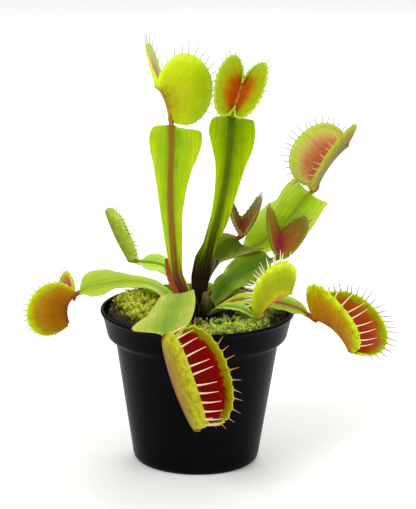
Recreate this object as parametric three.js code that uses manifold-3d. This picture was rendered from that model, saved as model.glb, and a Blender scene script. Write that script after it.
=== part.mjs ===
// Potted Venus flytrap: a round nursery pot of peat and moss, and a rosette of ten leaves that each end in a
// two-lobed trap edged with cilia. Millimetres, +Z up, +X to the right, -Y towards the viewer.
// The origin is the centre of the pot's underside.
import * as THREE from 'three';
import { mergeVertices } from 'three/addons/utils/BufferGeometryUtils.js';
import Module from 'manifold-3d';

const wasm = await Module();
wasm.setup();

// ---------------------------------------------------------------- driving dimensions
const GAP = 0.35; // air between pieces that touch

const POT_HEIGHT = 72;
const POT_WALL = 1.2;
const POT_SIDES = 40;
const LIP_RADIUS = 45;
const COLLAR_RADIUS = 42; // under the collar
const COLLAR_HEIGHT = 12;
const BODY_TOP_RADIUS = 37.8; // where the wall steps in below the collar
const BODY_FOOT_RADIUS = 29.8;
const FOOT_RADIUS = 27.2; // of the flat underside, inside a rounded foot
const FOOT_HEIGHT = 6;
const STEP = 3; // height of the slanted step under the collar
const DRAIN_HOLES = 6;
const DRAIN_RADIUS = 2.6;
const DRAIN_CIRCLE = 18;

const SOIL_SIDES = 30;
const SOIL_LEVEL = 68.5; // at the pot's wall
const SOIL_DOME = 2.5; // how much higher it is at the crown
const SOIL_LUMP = 0.7;
const SOIL_DIP = 3.5; // hollow in the peat round the crown
const SOIL_DIP_REACH = 9;
const MOSS_REACH = 41; // outer radius of the moss
const MOSS_EDGE = 1.4; // how thick the cushions are at their border, from the peat up

const CROWN_CENTRE = [0, -3, 67];
const CROWN_RADIUS = 8;
const CROWN_RISE = 7.5;
const CROWN_SIDES = 16;

const BLADE_EDGE = 0.7; // thickness of a blade at its edge
const BLADE_MIDDLE = 1.1;
const MIDRIB = 1.9;
const LOBE = 1.0; // thickness of a trap's lobe
const LOBE_RIB = 2.0; // thickness of its hinge
const STALK_TAPER = [1.15, 1.05, 1.0, 0.5]; // its radii, the last inside the hinge
const CILIUM = 0.5; // radius at the root
const CILIUM_ROOT = 1.3; // how far the root is sunk in the margin

const BLACK_PLASTIC = { color: 0x17171a, roughness: 0.42, metalness: 0 };
const PEAT = { color: 0x2c1d13, roughness: 1, metalness: 0 };
const GOLDEN_MOSS = { color: 0x9c9c32, roughness: 0.95, metalness: 0 };
const GREEN_MOSS = { color: 0x50781c, roughness: 0.95, metalness: 0 };
const leafSkin = (color) => ({ color, roughness: 0.5, metalness: 0 });

// ---------------------------------------------------------------- points, solids and meshes
const point = ([x, y, z]) => new THREE.Vector3(x, y, z);
const mix = THREE.MathUtils.lerp;
const smooth = THREE.MathUtils.smoothstep;

// the part of a direction that is square to an axis, at unit length
function squareTo(direction, axis) {
  return direction.clone().addScaledVector(axis, -direction.dot(axis)).normalize();
}

// a repeatable draw between -1 and 1 from two numbers
function scatter(a, b) {
  const wild = Math.sin(a * 12.9898 + b * 78.233) * 43758.5453;
  return 2 * (wild - Math.floor(wild)) - 1;
}

function toSolid(geometry) {
  const bare = geometry.clone();
  bare.deleteAttribute('normal');
  bare.deleteAttribute('uv');
  const merged = mergeVertices(bare, 1e-4);
  const mesh = new wasm.Mesh({
    numProp: 3,
    vertProperties: new Float32Array(merged.attributes.position.array),
    triVerts: new Uint32Array(merged.index.array),
  });
  const solid = new wasm.Manifold(mesh);
  if (solid.volume() > 0) return solid;
  for (let i = 0; i < mesh.triVerts.length; i += 3) {
    [mesh.triVerts[i], mesh.triVerts[i + 1]] = [mesh.triVerts[i + 1], mesh.triVerts[i]];
  }
  return new wasm.Manifold(mesh);
}

function toGeometry(solid) {
  const { vertProperties, triVerts } = solid.getMesh();
  const geometry = new THREE.BufferGeometry();
  geometry.setAttribute('position', new THREE.BufferAttribute(vertProperties, 3));
  geometry.setIndex(new THREE.BufferAttribute(triVerts, 1));
  geometry.computeVertexNormals();
  return geometry;
}

const group = new THREE.Group();

function add(name, solid, finish) {
  const mesh = new THREE.Mesh(toGeometry(solid), new THREE.MeshStandardMaterial(finish));
  mesh.name = name;
  group.add(mesh);
}

// A closed sheet between two equal grids of points, split into triangles alike on both faces.
function sheet(front, back) {
  const rows = front.length;
  const columns = front[0].length;
  const at = (side, i, j) => (side * rows + i) * columns + j;
  const index = [];
  const quad = (a, b, c, d) => index.push(a, b, c, a, c, d);
  for (let i = 0; i + 1 < rows; i += 1) {
    for (let j = 0; j + 1 < columns; j += 1) {
      quad(at(0, i, j), at(0, i + 1, j), at(0, i + 1, j + 1), at(0, i, j + 1));
      index.push(at(1, i, j), at(1, i + 1, j + 1), at(1, i + 1, j));
      index.push(at(1, i, j), at(1, i, j + 1), at(1, i + 1, j + 1));
    }
  }
  const rim = [];
  for (let j = 0; j < columns; j += 1) rim.push([0, j]);
  for (let i = 1; i < rows; i += 1) rim.push([i, columns - 1]);
  for (let j = columns - 2; j >= 0; j -= 1) rim.push([rows - 1, j]);
  for (let i = rows - 2; i > 0; i -= 1) rim.push([i, 0]);
  rim.forEach((here, k) => {
    const next = rim[(k + 1) % rim.length];
    quad(at(0, ...here), at(0, ...next), at(1, ...next), at(1, ...here));
  });
  const points = [...front.flat(), ...back.flat()];
  const geometry = new THREE.BufferGeometry().setFromPoints(points);
  geometry.setIndex(index);
  return toSolid(geometry);
}

// A round solid from a profile of [radius, height] points, turned about +Z.
function turned(profile, sides) {
  const geometry = new THREE.LatheGeometry(profile.map(([r, z]) => new THREE.Vector2(r, z)), sides);
  return geometry.rotateX(Math.PI / 2);
}

// A tapered round stem along a spine, with one radius for each point and pointed ends.
function stemSolid(spine, radii, sides) {
  const curve = new THREE.CatmullRomCurve3(spine.map(point));
  const frames = curve.computeFrenetFrames(radii.length - 1, false);
  const points = [curve.getPointAt(0), curve.getPointAt(1)];
  const index = [];
  radii.forEach((radius, i) => {
    const centre = curve.getPointAt(mix(0.02, 0.98, i / (radii.length - 1)));
    for (let j = 0; j < sides; j += 1) {
      const turn = (2 * Math.PI * j) / sides;
      const ring = centre.clone().addScaledVector(frames.normals[i], radius * Math.cos(turn));
      points.push(ring.addScaledVector(frames.binormals[i], radius * Math.sin(turn)));
      const here = 2 + i * sides + j;
      const beside = 2 + i * sides + ((j + 1) % sides);
      if (i === 0) index.push(0, beside, here);
      if (i === radii.length - 1) index.push(1, here, beside);
      else index.push(here, beside, beside + sides, here, beside + sides, here + sides);
    }
  });
  const geometry = new THREE.BufferGeometry().setFromPoints(points);
  geometry.setIndex(index);
  return toSolid(geometry);
}

// ---------------------------------------------------------------- pot
function potSolid() {
  const top = POT_HEIGHT;
  const under = top - COLLAR_HEIGHT;
  const outside = [
    [0, 0],
    [FOOT_RADIUS, 0],
    [mix(FOOT_RADIUS, BODY_FOOT_RADIUS, 0.55), 0.25 * FOOT_HEIGHT],
    [mix(FOOT_RADIUS, BODY_FOOT_RADIUS, 0.9), 0.65 * FOOT_HEIGHT],
    [BODY_FOOT_RADIUS, FOOT_HEIGHT],
    [BODY_TOP_RADIUS, under - STEP],
    [COLLAR_RADIUS, under],
    [LIP_RADIUS - 1, top - 2],
    [LIP_RADIUS, top - 1.4],
    [LIP_RADIUS, top - 0.4],
    [LIP_RADIUS - 0.4, top],
  ];
  const inside = [
    [LIP_RADIUS - POT_WALL - 0.2, top],
    [LIP_RADIUS - 1 - POT_WALL, top - 2.2],
    [COLLAR_RADIUS - POT_WALL, under + 0.6],
    [BODY_TOP_RADIUS - POT_WALL, under - STEP + 0.6],
    [BODY_FOOT_RADIUS - POT_WALL, FOOT_HEIGHT],
    [FOOT_RADIUS - POT_WALL + 0.4, POT_WALL],
    [0, POT_WALL],
  ];
  let solid = toSolid(turned([...outside, ...inside], POT_SIDES));
  for (let k = 0; k < DRAIN_HOLES; k += 1) {
    const angle = (2 * Math.PI * k) / DRAIN_HOLES;
    const hole = new THREE.CylinderGeometry(DRAIN_RADIUS, DRAIN_RADIUS, 4 * POT_WALL, 10);
    hole.rotateX(Math.PI / 2);
    hole.translate(DRAIN_CIRCLE * Math.cos(angle), DRAIN_CIRCLE * Math.sin(angle), 0);
    solid = solid.subtract(toSolid(hole));
  }
  return solid;
}

// ---------------------------------------------------------------- crown
// A low dome, or that dome grown by some air all round.
function crownSolid(air) {
  const radius = CROWN_RADIUS + air;
  const rise = CROWN_RISE + air;
  const profile = [[0, -CROWN_RISE - air]];
  for (let k = -2; k < 5; k += 1) {
    const turn = (k / 5) * (Math.PI / 2);
    profile.push([radius * Math.cos(turn), rise * Math.sin(turn)]);
  }
  profile.push([0, rise]);
  return toSolid(turned(profile, CROWN_SIDES).translate(...CROWN_CENTRE));
}
const crownWell = crownSolid(GAP);

// ---------------------------------------------------------------- soil and moss
// Height of the peat: a low dome with lumps that die away at the wall.
function soilHeight(x, y) {
  const out = Math.hypot(x, y) / LIP_RADIUS;
  const lump = Math.sin(x * 0.62 + 1) * Math.cos(y * 0.55) + 0.6 * Math.sin(x * 0.31 - y * 0.83);
  const far = Math.hypot(x - CROWN_CENTRE[0], y - CROWN_CENTRE[1]) / SOIL_DIP_REACH;
  const dip = SOIL_DIP * Math.exp(-far * far);
  return SOIL_LEVEL + SOIL_DOME * (1 - out * out) - dip + SOIL_LUMP * lump * (1 - out ** 4);
}

function soilSolid() {
  const air = POT_WALL + 1.3 * GAP;
  const under = POT_HEIGHT - COLLAR_HEIGHT;
  const profile = [
    [0, air],
    [FOOT_RADIUS - air + 0.2, air],
    [BODY_FOOT_RADIUS - air, FOOT_HEIGHT + 0.1],
    [BODY_TOP_RADIUS - air, under - STEP + 0.9],
    [COLLAR_RADIUS - air, under + 0.9],
  ];
  for (const radius of [42, 38, 33, 27.5, 22, 16, 10]) profile.push([radius, SOIL_LEVEL]);
  profile.push([0, SOIL_LEVEL]);
  const geometry = turned(profile, SOIL_SIDES);
  const place = geometry.attributes.position;
  for (let i = 0; i < place.count; i += 1) {
    if (place.getZ(i) < SOIL_LEVEL - 0.01) continue;
    place.setZ(i, soilHeight(place.getX(i), place.getY(i)));
  }
  return toSolid(geometry).subtract(crownWell);
}
const soil = soilSolid();

// A cushion of moss on a sector of the soil: tufts are raised by a repeatable draw, its edge thins out, and
// its underside is cut to the lumps of the peat.
function mossSolid({ angles, radii, height, columns, rows, tuft }) {
  const front = [];
  const back = [];
  for (let i = 0; i <= columns; i += 1) {
    const u = i / columns;
    const angle = THREE.MathUtils.degToRad(mix(angles[0], angles[1], u));
    const inner = radii[0] + 2.5 * Math.sin(9 * angle) + 1.5 * Math.sin(17 * angle);
    const topRow = [];
    const underRow = [];
    for (let j = 0; j <= rows; j += 1) {
      const v = j / rows;
      const radius = mix(inner, radii[1], v);
      const x = radius * Math.cos(angle);
      const y = radius * Math.sin(angle);
      const ends = Math.min(1, 6 * Math.min(u, 1 - u));
      const edge = ends * smooth(v, -0.15, 0.55) * (1 - 0.55 * smooth(v, 0.75, 1));
      const border = i === 0 || i === columns || j === 0 || j === rows;
      const lump = border ? 0 : tuft * scatter(i, j);
      const ground = soilHeight(x, y);
      topRow.push(new THREE.Vector3(x, y, ground + MOSS_EDGE + (height + lump) * edge));
      underRow.push(new THREE.Vector3(x, y, ground - MOSS_EDGE));
    }
    front.push(topRow);
    back.push(underRow);
  }
  return sheet(front, back).subtract(soil.translate(0, 0, GAP));
}

const MOSS = {
  moss_left: {
    angles: [128, 262], radii: [17, MOSS_REACH], height: 4.4, columns: 20, rows: 6, tuft: 1,
    finish: GOLDEN_MOSS,
  },
  moss_back: {
    angles: [38, 124], radii: [24, MOSS_REACH], height: 3.4, columns: 13, rows: 4, tuft: 0.9,
    finish: GOLDEN_MOSS,
  },
  moss_right: {
    angles: [-92, 34], radii: [16, MOSS_REACH], height: 1.2, columns: 18, rows: 6, tuft: 0.7,
    finish: GREEN_MOSS,
  },
};

// ---------------------------------------------------------------- blades
// Places across a blade: its edges at -1 and 1, its midrib at 0.
const ACROSS = [-1, -0.55, -0.14, 0, 0.14, 0.55, 1];

// A green blade along a spine. face is the way its upper side looks at the foot and at the neck, half lists
// [how far along, width to the left, width to the right] as seen from that side, with the neck up. fold lifts
// the edges, wave ripples them, and lead is how far they run ahead of the midrib at a width of 10 mm.
function bladeGrids({ spine, face, half, fold, wave = 0, waves = 3, lead = 0 }) {
  const curve = new THREE.CatmullRomCurve3(spine.map(point));
  const front = [];
  const back = [];
  for (const [u, left, right] of half) {
    const centre = curve.getPointAt(u);
    const along = curve.getTangentAt(u);
    const up = squareTo(point(face[0]).lerp(point(face[1]), u), along);
    const side = along.clone().cross(up);
    const frontRow = [];
    const backRow = [];
    for (const w of ACROSS) {
      const reach = w * (w < 0 ? left : right);
      const ripple = wave * w * w * Math.sin(2 * Math.PI * waves * u + (w < 0 ? 1.3 : 0));
      const taper = Math.min(1, Math.max(left, right) / 6);
      const place = centre.clone().addScaledVector(side, reach);
      place.addScaledVector(along, lead * (reach / 10) ** 2);
      place.addScaledVector(up, fold * Math.abs(reach) + ripple * taper);
      const under = w === 0 ? MIDRIB : mix(BLADE_MIDDLE, BLADE_EDGE, Math.abs(w));
      frontRow.push(place);
      backRow.push(place.clone().addScaledVector(up, -under));
    }
    front.push(frontRow);
    back.push(backRow);
  }
  return [front, back];
}

// ---------------------------------------------------------------- traps
// Places across an open trap: margin of the first lobe, hinge, margin of the second.
const OVER_TRAP = [-1, -0.75, -0.45, -0.16, 0, 0.16, 0.45, 0.75, 1];
const LOBE_END = 0.04; // share of a lobe's height at which its margin meets the end of the hinge

// The frame of a trap: hinge from base to tip, and one arm from its middle to the top of each lobe's margin.
// bow bends the hinge away from the opening, heart is the height of the lobe's widest place as a share of the
// arm, flare is how far each lobe reaches past the base and past the tip there, bulge is how far it swells.
function trapFrame({ base, tip, tops, bow, heart, flare, bulge }) {
  const foot = point(base);
  const end = point(tip);
  const middle = foot.clone().lerp(end, 0.5);
  const along = end.clone().sub(foot).normalize();
  const half = foot.distanceTo(end) / 2;
  const arms = tops.map((top) => point(top).sub(middle));
  const across = arms.map((arm) => squareTo(arm, along));
  const open = squareTo(across[0].clone().add(across[1]), along);
  const outwards = across.map((arm, k) => {
    const normal = along.clone().cross(arm);
    return normal.dot(across[1 - k]) > 0 ? normal.negate() : normal;
  });
  const past = Math.asin((heart - LOBE_END) / (1 - heart));
  return { foot, middle, along, half, arms, open, outwards, bow, heart, flare, bulge, past };
}

// Point of a lobe at share 0..1 from base to tip, and at height v from hinge to margin. The margin is an oval
// round the heart of the lobe, cut off where it meets the hinge.
function lobePoint(frame, lobe, share, v) {
  const { middle, along, half, arms, open, outwards, bow, heart, flare, bulge, past } = frame;
  const lift = Math.sin(Math.PI * share);
  const hinge = middle.clone().addScaledVector(along, -Math.cos(Math.PI * share) * half);
  hinge.addScaledVector(open, -bow * lift * lift);
  const turn = mix(-past, Math.PI + past, share);
  const reach = -Math.cos(turn) * (half + flare[lobe][share < 0.5 ? 0 : 1]);
  const margin = middle.clone().addScaledVector(along, reach);
  margin.addScaledVector(arms[lobe], heart + (1 - heart) * Math.sin(turn));
  return hinge.lerp(margin, v).addScaledVector(outwards[lobe], bulge[lobe] * 4 * v * (1 - v) * lift);
}

function trapSolid(spec) {
  const frame = trapFrame(spec);
  const steps = spec.steps ?? 10;
  const inner = [];
  const outer = [];
  for (let i = 0; i <= steps; i += 1) {
    const innerRow = [];
    const outerRow = [];
    for (const w of OVER_TRAP) {
      const lobe = w < 0 ? 0 : 1;
      const v = Math.abs(w);
      const place = lobePoint(frame, lobe, i / steps, v);
      const spread = smooth(v, 0, 0.45);
      const away = frame.open.clone().negate().lerp(frame.outwards[lobe], spread).normalize();
      innerRow.push(place);
      outerRow.push(place.clone().addScaledVector(away, mix(LOBE_RIB, LOBE, Math.min(1, v / 0.3))));
    }
    inner.push(innerRow);
    outer.push(outerRow);
  }
  let solid = sheet(inner, outer);
  for (const lobe of [0, 1]) {
    for (let k = 0; k < spec.cilia; k += 1) {
      const share = (k + 0.5 + (lobe ? 0.22 : -0.22)) / spec.cilia;
      solid = solid.add(ciliumSolid(frame, lobe, mix(0.1, 0.9, share), spec));
    }
  }
  return solid;
}

// One stiff hair of the margin: it fans out from the lobe and leans in over the opening.
function ciliumSolid(frame, lobe, share, { length, lean }) {
  const margin = lobePoint(frame, lobe, share, 1);
  const heart = frame.middle.clone().addScaledVector(frame.arms[lobe], frame.heart);
  const out = margin.clone().sub(heart).normalize();
  const aim = out.clone().addScaledVector(frame.outwards[lobe], -lean).normalize();
  const reach = length * (0.75 + 0.25 * Math.sin(Math.PI * share)) + CILIUM_ROOT;
  const needle = new THREE.ConeGeometry(CILIUM, reach, 3);
  needle.translate(0, reach / 2, 0);
  needle.applyQuaternion(new THREE.Quaternion().setFromUnitVectors(new THREE.Vector3(0, 1, 0), aim));
  const root = margin.clone().addScaledVector(out, -CILIUM_ROOT);
  root.addScaledVector(frame.outwards[lobe], LOBE / 2);
  return toSolid(needle.translate(root.x, root.y, root.z));
}

// ---------------------------------------------------------------- leaves
// Each leaf: the blade's spine from the crown towards the neck (the trap's base ends it), and its trap.
const LEAVES = {
  tall_left: {
    stalk: 1,
    blade: {
      spine: [[-1.5, -1, 72], [-6.5, 2, 80], [-9.5, 4, 87], [-12, 6, 107], [-13, 7, 131], [-12.5, 7, 148]],
      face: [[0.3, 1, 0.2], [0.1, 1, 0]],
      half: [[0, 1.9, 1.9], [0.12, 2.3, 2.2], [0.3, 3.6, 3.4], [0.48, 5, 4.8], [0.63, 6.8, 6.2],
        [0.76, 9.6, 8.2], [0.86, 12.8, 10.4], [0.92, 13.8, 10.8], [0.95, 13.4, 10.2], [0.963, 11.5, 9.9],
        [0.972, 4, 9.5], [0.986, 1.8, 8.8], [0.996, 1.3, 7], [1, 1.1, 1.1]],
      fold: 0.12, wave: 0.5, color: 0x93a808,
    },
    trap: {
      base: [-12.5, 5.5, 159.5], tip: [-19, -2, 177], tops: [[4.3, 9, 181.3], [-19.6, 15.2, 185.8]],
      bow: -2.5, heart: 0.47, flare: [[7.5, 8.5], [-1, 9.5]], bulge: [2, 1], cilia: 10, length: 6,
        lean: 0.35, color: 0xa6b414,
    },
  },
  tall_right: {
    stalk: 1,
    blade: {
      spine: [[1, -7.5, 70], [1.2, -9, 80.5], [3.5, -7, 92.5], [6, -4, 103.5], [9, -2, 115.5],
        [12.5, 1, 133.5], [14, 2, 148.5]],
      face: [[0, -1, 0.1], [0.05, -1, 0.1]],
      half: [[0, 2, 2], [0.1, 3, 2.9], [0.2, 5.8, 2.8], [0.28, 6, 2.8], [0.38, 3.6, 3], [0.5, 3.6, 4.8],
        [0.64, 4.3, 6.1], [0.76, 5.8, 7.8], [0.87, 8.8, 10.8], [0.935, 10.4, 11.2], [0.97, 9.8, 10.6],
        [0.99, 9, 10], [0.997, 7.6, 8], [1, 1.1, 1.1]],
      fold: 0.15, wave: 0.5, color: 0x8fae06,
    },
    trap: {
      base: [15, 1.5, 164], tip: [20, 8, 179], tops: [[8, -6, 182.5], [29.3, -3, 177.9]],
      bow: 1, heart: 0.5, flare: [[4.4, 6], [4, 5.5]], bulge: [1.5, 1.5], cilia: 9, length: 5, lean: 0.35,
        color: 0xb86a14,
    },
  },
  back_right: {
    stalk: 2,
    blade: {
      spine: [[4.1, 1.1, 71], [10, 9.8, 79], [19, 25, 88], [30, 36, 95], [40, 41, 102], [48, 42, 112],
        [53, 42, 118]],
      face: [[-0.3, -0.6, 0.6], [-0.3, -0.8, 0.5]],
      half: [[0, 1.8, 1.8], [0.2, 2.4, 2.4], [0.36, 3, 3], [0.44, 3.4, 4], [0.52, 7, 6], [0.6, 12, 9],
        [0.68, 14, 12], [0.78, 12, 12.5], [0.86, 11, 12.5], [0.925, 11, 12], [0.965, 7, 11.5],
        [0.985, 3, 8], [1, 1.1, 1.1]],
      fold: 0.12, wave: 1.4, waves: 3.5, lead: 4.5, color: 0x6f9412,
    },
    trap: {
      base: [54.5, 42, 119.7], tip: [69, 44, 140.8], tops: [[45.4, 46, 142], [58.2, 28, 138]],
      bow: -2.2, heart: 0.42, flare: [[1, 4], [1.5, 10]], bulge: [2.5, 1], cilia: 9, length: 5.5, lean: 0.3,
        color: 0xb0622e,
    },
  },
  mid_right: {
    stalk: 2,
    blade: {
      spine: [[5.5, -1.8, 71.5], [11.5, 5.5, 82], [22, 11, 88], [31, 12, 91.5]],
      face: [[-0.1, -0.35, 0.9], [-0.1, -0.35, 0.9]],
      half: [[0, 1.9, 1.9], [0.2, 3, 5.5], [0.4, 4.6, 10.5], [0.6, 6.6, 13.5], [0.76, 9.5, 13.5],
        [0.86, 10, 12], [0.93, 7, 8], [0.965, 2, 2], [1, 1.1, 1.1]],
      fold: 0.15, wave: 1, color: 0x4f8a08,
    },
    trap: {
      base: [37.5, 12.5, 94], tip: [38.5, 25, 102], tops: [[32.5, 17, 114], [51, 16.5, 109.5]],
      bow: 1, heart: 0.4, flare: [[2, 2], [4, 2]], bulge: [1.5, 2], cilia: 6, length: 5, lean: 0.3,
        steps: 8, color: 0x86603c,
    },
  },
  behind: {
    stalk: 2,
    blade: {
      spine: [[0.7, 3.4, 71.5], [3, 12, 82], [9, 20, 91.5], [17, 25.5, 98.5]],
      face: [[-0.2, -0.75, 0.6], [-0.2, -0.75, 0.6]],
      half: [[0, 1.9, 1.9], [0.25, 2.4, 2.2], [0.45, 4, 2.3], [0.6, 6.5, 2.8], [0.66, 7.4, 5],
        [0.71, 8, 8.5], [0.79, 8, 12.5], [0.87, 7, 14.5], [0.93, 4.8, 13.8], [0.965, 2.2, 12],
        [0.98, 1.5, 7.5], [0.99, 1.2, 3], [1, 1.1, 1.1]],
      fold: 0.2, wave: 0.6, lead: 4, color: 0x566030,
    },
    trap: {
      base: [20.5, 26.5, 101], tip: [20.5, 37, 104.5], tops: [[14.5, 32, 114.5], [29, 32, 117.5]],
      bow: 1, heart: 0.4, flare: [[1.5, 1.5], [3.5, 1.5]], bulge: [1.2, 1.5], cilia: 5, length: 4,
        lean: 0.3, steps: 8, color: 0x6a3a20,
    },
  },
  front_right: {
    stalk: 1.5,
    blade: {
      spine: [[4.2, -8.2, 71.5], [11.6, -14.2, 76.8], [19.5, -19, 77.6]],
      face: [[0, -0.1, 1], [0, -0.1, 1]],
      half: [[0, 1.7, 1.7], [0.22, 2.2, 2.2], [0.42, 3.8, 3.8], [0.6, 4.5, 4.5], [0.8, 3.8, 3.8],
        [0.9, 2.2, 2.2], [1, 1.1, 1.1]],
      fold: 0.25, wave: 0.4, color: 0x7f9a10,
    },
    trap: {
      base: [27, -22, 75], tip: [42, -20, 86], tops: [[32.5, -26, 98.7], [33.5, -17, 97.2]],
      bow: -1.5, heart: 0.4, flare: [[1.5, 3.5], [1.5, 3.5]], bulge: [2, 2], cilia: 8, length: 4,
        lean: 0.25, color: 0xaab014,
    },
  },
  far_right: {
    stalk: 2.5,
    blade: {
      spine: [[6, -4.9, 71.5], [17.5, -7.2, 78], [29.5, -9, 78.6], [41, -10, 77], [48, -10.3, 74.6]],
      face: [[0, -0.35, 0.95], [0, -0.35, 0.95]],
      half: [[0, 1.6, 1.6], [0.12, 1.8, 1.8], [0.25, 3.2, 3.2], [0.42, 4.4, 4.4], [0.6, 5.4, 5.4],
        [0.78, 6.2, 6.2], [0.89, 5, 5], [0.95, 2.4, 2.4], [1, 1.1, 1.1]],
      fold: 0.2, wave: 0.5, color: 0x88a018,
    },
    trap: {
      base: [53.5, -11.5, 72], tip: [71, -17.5, 57.5], tops: [[60.8, -28, 87.7], [78.8, -9, 78.6]],
      bow: -3, heart: 0.45, flare: [[3.5, 5.8], [4, 9.5]], bulge: [1.5, 3], cilia: 11, length: 6.5,
        lean: 0.35, color: 0xb8880e,
    },
  },
  front: {
    stalk: 2.5,
    blade: {
      spine: [[-4, -6.5, 71.5], [-6, -12, 81], [-8, -20, 84.5], [-10, -30, 82.5], [-12, -40, 77.5]],
      face: [[0, 0.75, 0.5], [-0.15, -0.75, 0.6]],
      half: [[0, 2, 2], [0.2, 3.4, 3.4], [0.4, 7, 6.5], [0.56, 9.5, 8.5], [0.7, 10, 11.3],
        [0.81, 9.5, 14.5], [0.89, 7.5, 15.5], [0.93, 4.5, 14.5], [0.965, 1.6, 9.5], [0.985, 1.2, 3.5],
        [1, 1.1, 1.1]],
      fold: 0.08, wave: 0.9, waves: 2.5, lead: 2.2, color: 0x9ab838,
    },
    trap: {
      base: [-14, -50, 71], tip: [1, -55, 30.5], tops: [[-0.6, -70.4, 60.6], [14.4, -51, 60]],
      bow: 2.5, heart: 0.5, flare: [[1.6, 0.2], [1.6, 1.4]], bulge: [3, 3], cilia: 12, length: 6,
        lean: 0.35, color: 0xa08028,
    },
  },
  far_left: {
    stalk: 1.8,
    blade: {
      spine: [[-5, -4.5, 71], [-12, 0, 76.5], [-19, 7, 80], [-31.5, 13.5, 81], [-51.5, 17.6, 76.6]],
      face: [[0.1, -0.4, 0.9], [0.1, -0.55, 0.8]],
      half: [[0, 1.9, 1.9], [0.2, 3, 3], [0.4, 3.6, 3.4], [0.55, 4.2, 4.2], [0.68, 5.5, 6], [0.8, 7, 8],
        [0.88, 6.5, 9.2], [0.935, 4, 8], [0.97, 2, 3.4], [1, 1.1, 1.1]],
      fold: 0.15, wave: 0.8, color: 0x9ab432,
    },
    trap: {
      base: [-58.6, 19, 72.8], tip: [-61.6, 17, 58.6], tops: [[-80, 10, 68.2], [-66.5, 32, 74.5]],
      bow: -3, heart: 0.45, flare: [[5.4, 5.2], [3.6, 2.5]], bulge: [2, 2], cilia: 8, length: 4, lean: 0.35,
        color: 0xaa7204,
    },
  },
  upper_left: {
    stalk: 3.8,
    blade: {
      spine: [[-3.3, 2.4, 71.5], [-7, 13, 80.5], [-17, 21, 87]],
      face: [[0.2, -0.5, 0.8], [0.2, -0.7, 0.7]],
      half: [[0, 1.6, 1.6], [0.3, 2.3, 1.8], [0.55, 4.6, 3.6], [0.76, 5.4, 4.8], [0.88, 4, 4],
        [0.95, 1.6, 1.6], [1, 1.1, 1.1]],
      fold: 0.3, color: 0x5f7a24,
    },
    trap: {
      base: [-31.5, 28, 87.8], tip: [-42.6, 33, 110], tops: [[-33.2, 27.5, 101], [-33.2, 32.5, 100.5]],
      bow: 1, heart: 0.3, flare: [[0.5, 0.5], [0.5, 0.5]], bulge: [0.8, 0.8], cilia: 6, length: 2,
        lean: 0.2, steps: 8, color: 0x90a02a,
    },
  },
};

// A place this far before the hinge, on the way from the blade's last point.
function beforeHinge({ blade, trap }, back) {
  const hinge = trapFrame(trap);
  const root = hinge.foot.addScaledVector(hinge.open, -LOBE_RIB / 2);
  const way = point(blade.spine.at(-1)).sub(root).normalize();
  return root.addScaledVector(way, back).toArray();
}

function leafSolid(leaf) {
  const spine = [...leaf.blade.spine, beforeHinge(leaf, leaf.stalk + GAP)];
  return sheet(...bladeGrids({ ...leaf.blade, spine }));
}

// The trap with its bare stalk, which runs on into the root of the hinge.
function stalkedTrapSolid(leaf) {
  const root = beforeHinge(leaf, 0);
  const inside = point(root).addScaledVector(trapFrame(leaf.trap).along, 2).toArray();
  return trapSolid(leaf.trap).add(stemSolid([beforeHinge(leaf, leaf.stalk), root, inside], STALK_TAPER, 6));
}

const YOUNG_LEAF = {
  spine: [[-5.5, 0.6, 72], [-10.2, 6, 80], [-13, 9.5, 86], [-15, 11, 93]], radii: [1.1, 1.5, 2.1, 2.3, 1.9, 1],
};
const SHOOT = { spine: [[1.5, -10, 71.5], [3.5, -13, 76], [3.8, -13, 83.5]], radii: [1, 1.5, 1.7, 1.6, 1.1] };
const DRY_LEAF = {
  spine: [[12, 3, 73.7], [18, 8, 75], [23, 13, 75], [28.5, 18, 74.8]], face: [[0, -0.4, 1], [0.3, 0.2, 1]],
  half: [[0, 1.2, 1.2], [0.3, 3, 3.2], [0.6, 3.6, 3], [0.85, 2.4, 2], [1, 0.8, 0.8]], fold: 0.45, wave: 0.6,
};
const DEAD_STALK = {
  spine: [[1.8, 0, 74.4], [2.8, 4, 79], [4.6, 8.5, 84.6], [5.2, 8.6, 86.5]], radii: [0.6, 0.5, 0.5, 0.6, 0.5],
};
const DEAD_TRAP = {
  base: [4.5, 8.5, 85], tip: [7.5, 9, 92], tops: [[7.5, 6, 88.5], [9.5, 11.5, 90]],
  bow: 0.6, heart: 0.3, flare: [[0.4, 0.4], [0.4, 0.4]], bulge: [0.6, 0.6],
  cilia: 2, length: 2, lean: 0.5, steps: 6,
};

// ---------------------------------------------------------------- the whole plant
add('pot', potSolid(), BLACK_PLASTIC);
add('soil', soil, PEAT);
for (const [name, moss] of Object.entries(MOSS)) add(name, mossSolid(moss).subtract(crownWell), moss.finish);
add('crown', crownSolid(0), leafSkin(0x8a9a3a));
for (const [name, leaf] of Object.entries(LEAVES)) {
  add(`leaf_${name}`, leafSolid(leaf).subtract(crownWell), leafSkin(leaf.blade.color));
  add(`trap_${name}`, stalkedTrapSolid(leaf), leafSkin(leaf.trap.color));
}
add('leaf_young', stemSolid(YOUNG_LEAF.spine, YOUNG_LEAF.radii, 8).subtract(crownWell), leafSkin(0xb04a50));
add('shoot', stemSolid(SHOOT.spine, SHOOT.radii, 8).subtract(crownWell), leafSkin(0x8aa020));
add('leaf_dry', sheet(...bladeGrids(DRY_LEAF)), leafSkin(0x8a6a3c));
const deadStalk = stemSolid(DEAD_STALK.spine, DEAD_STALK.radii, 5).subtract(crownWell);
add('trap_dead', trapSolid(DEAD_TRAP).add(deadStalk), leafSkin(0x3c2228));

export default group;
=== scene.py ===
"""A potted Venus flytrap: finer leaves, traps, cilia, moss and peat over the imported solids, and finishes.

Lengths are millimetres, as in the part's source, and become metres when a mesh is made.
"""

import math
import random

import bpy
import numpy as np
from mathutils import Matrix, Quaternion, Vector, noise


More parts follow.
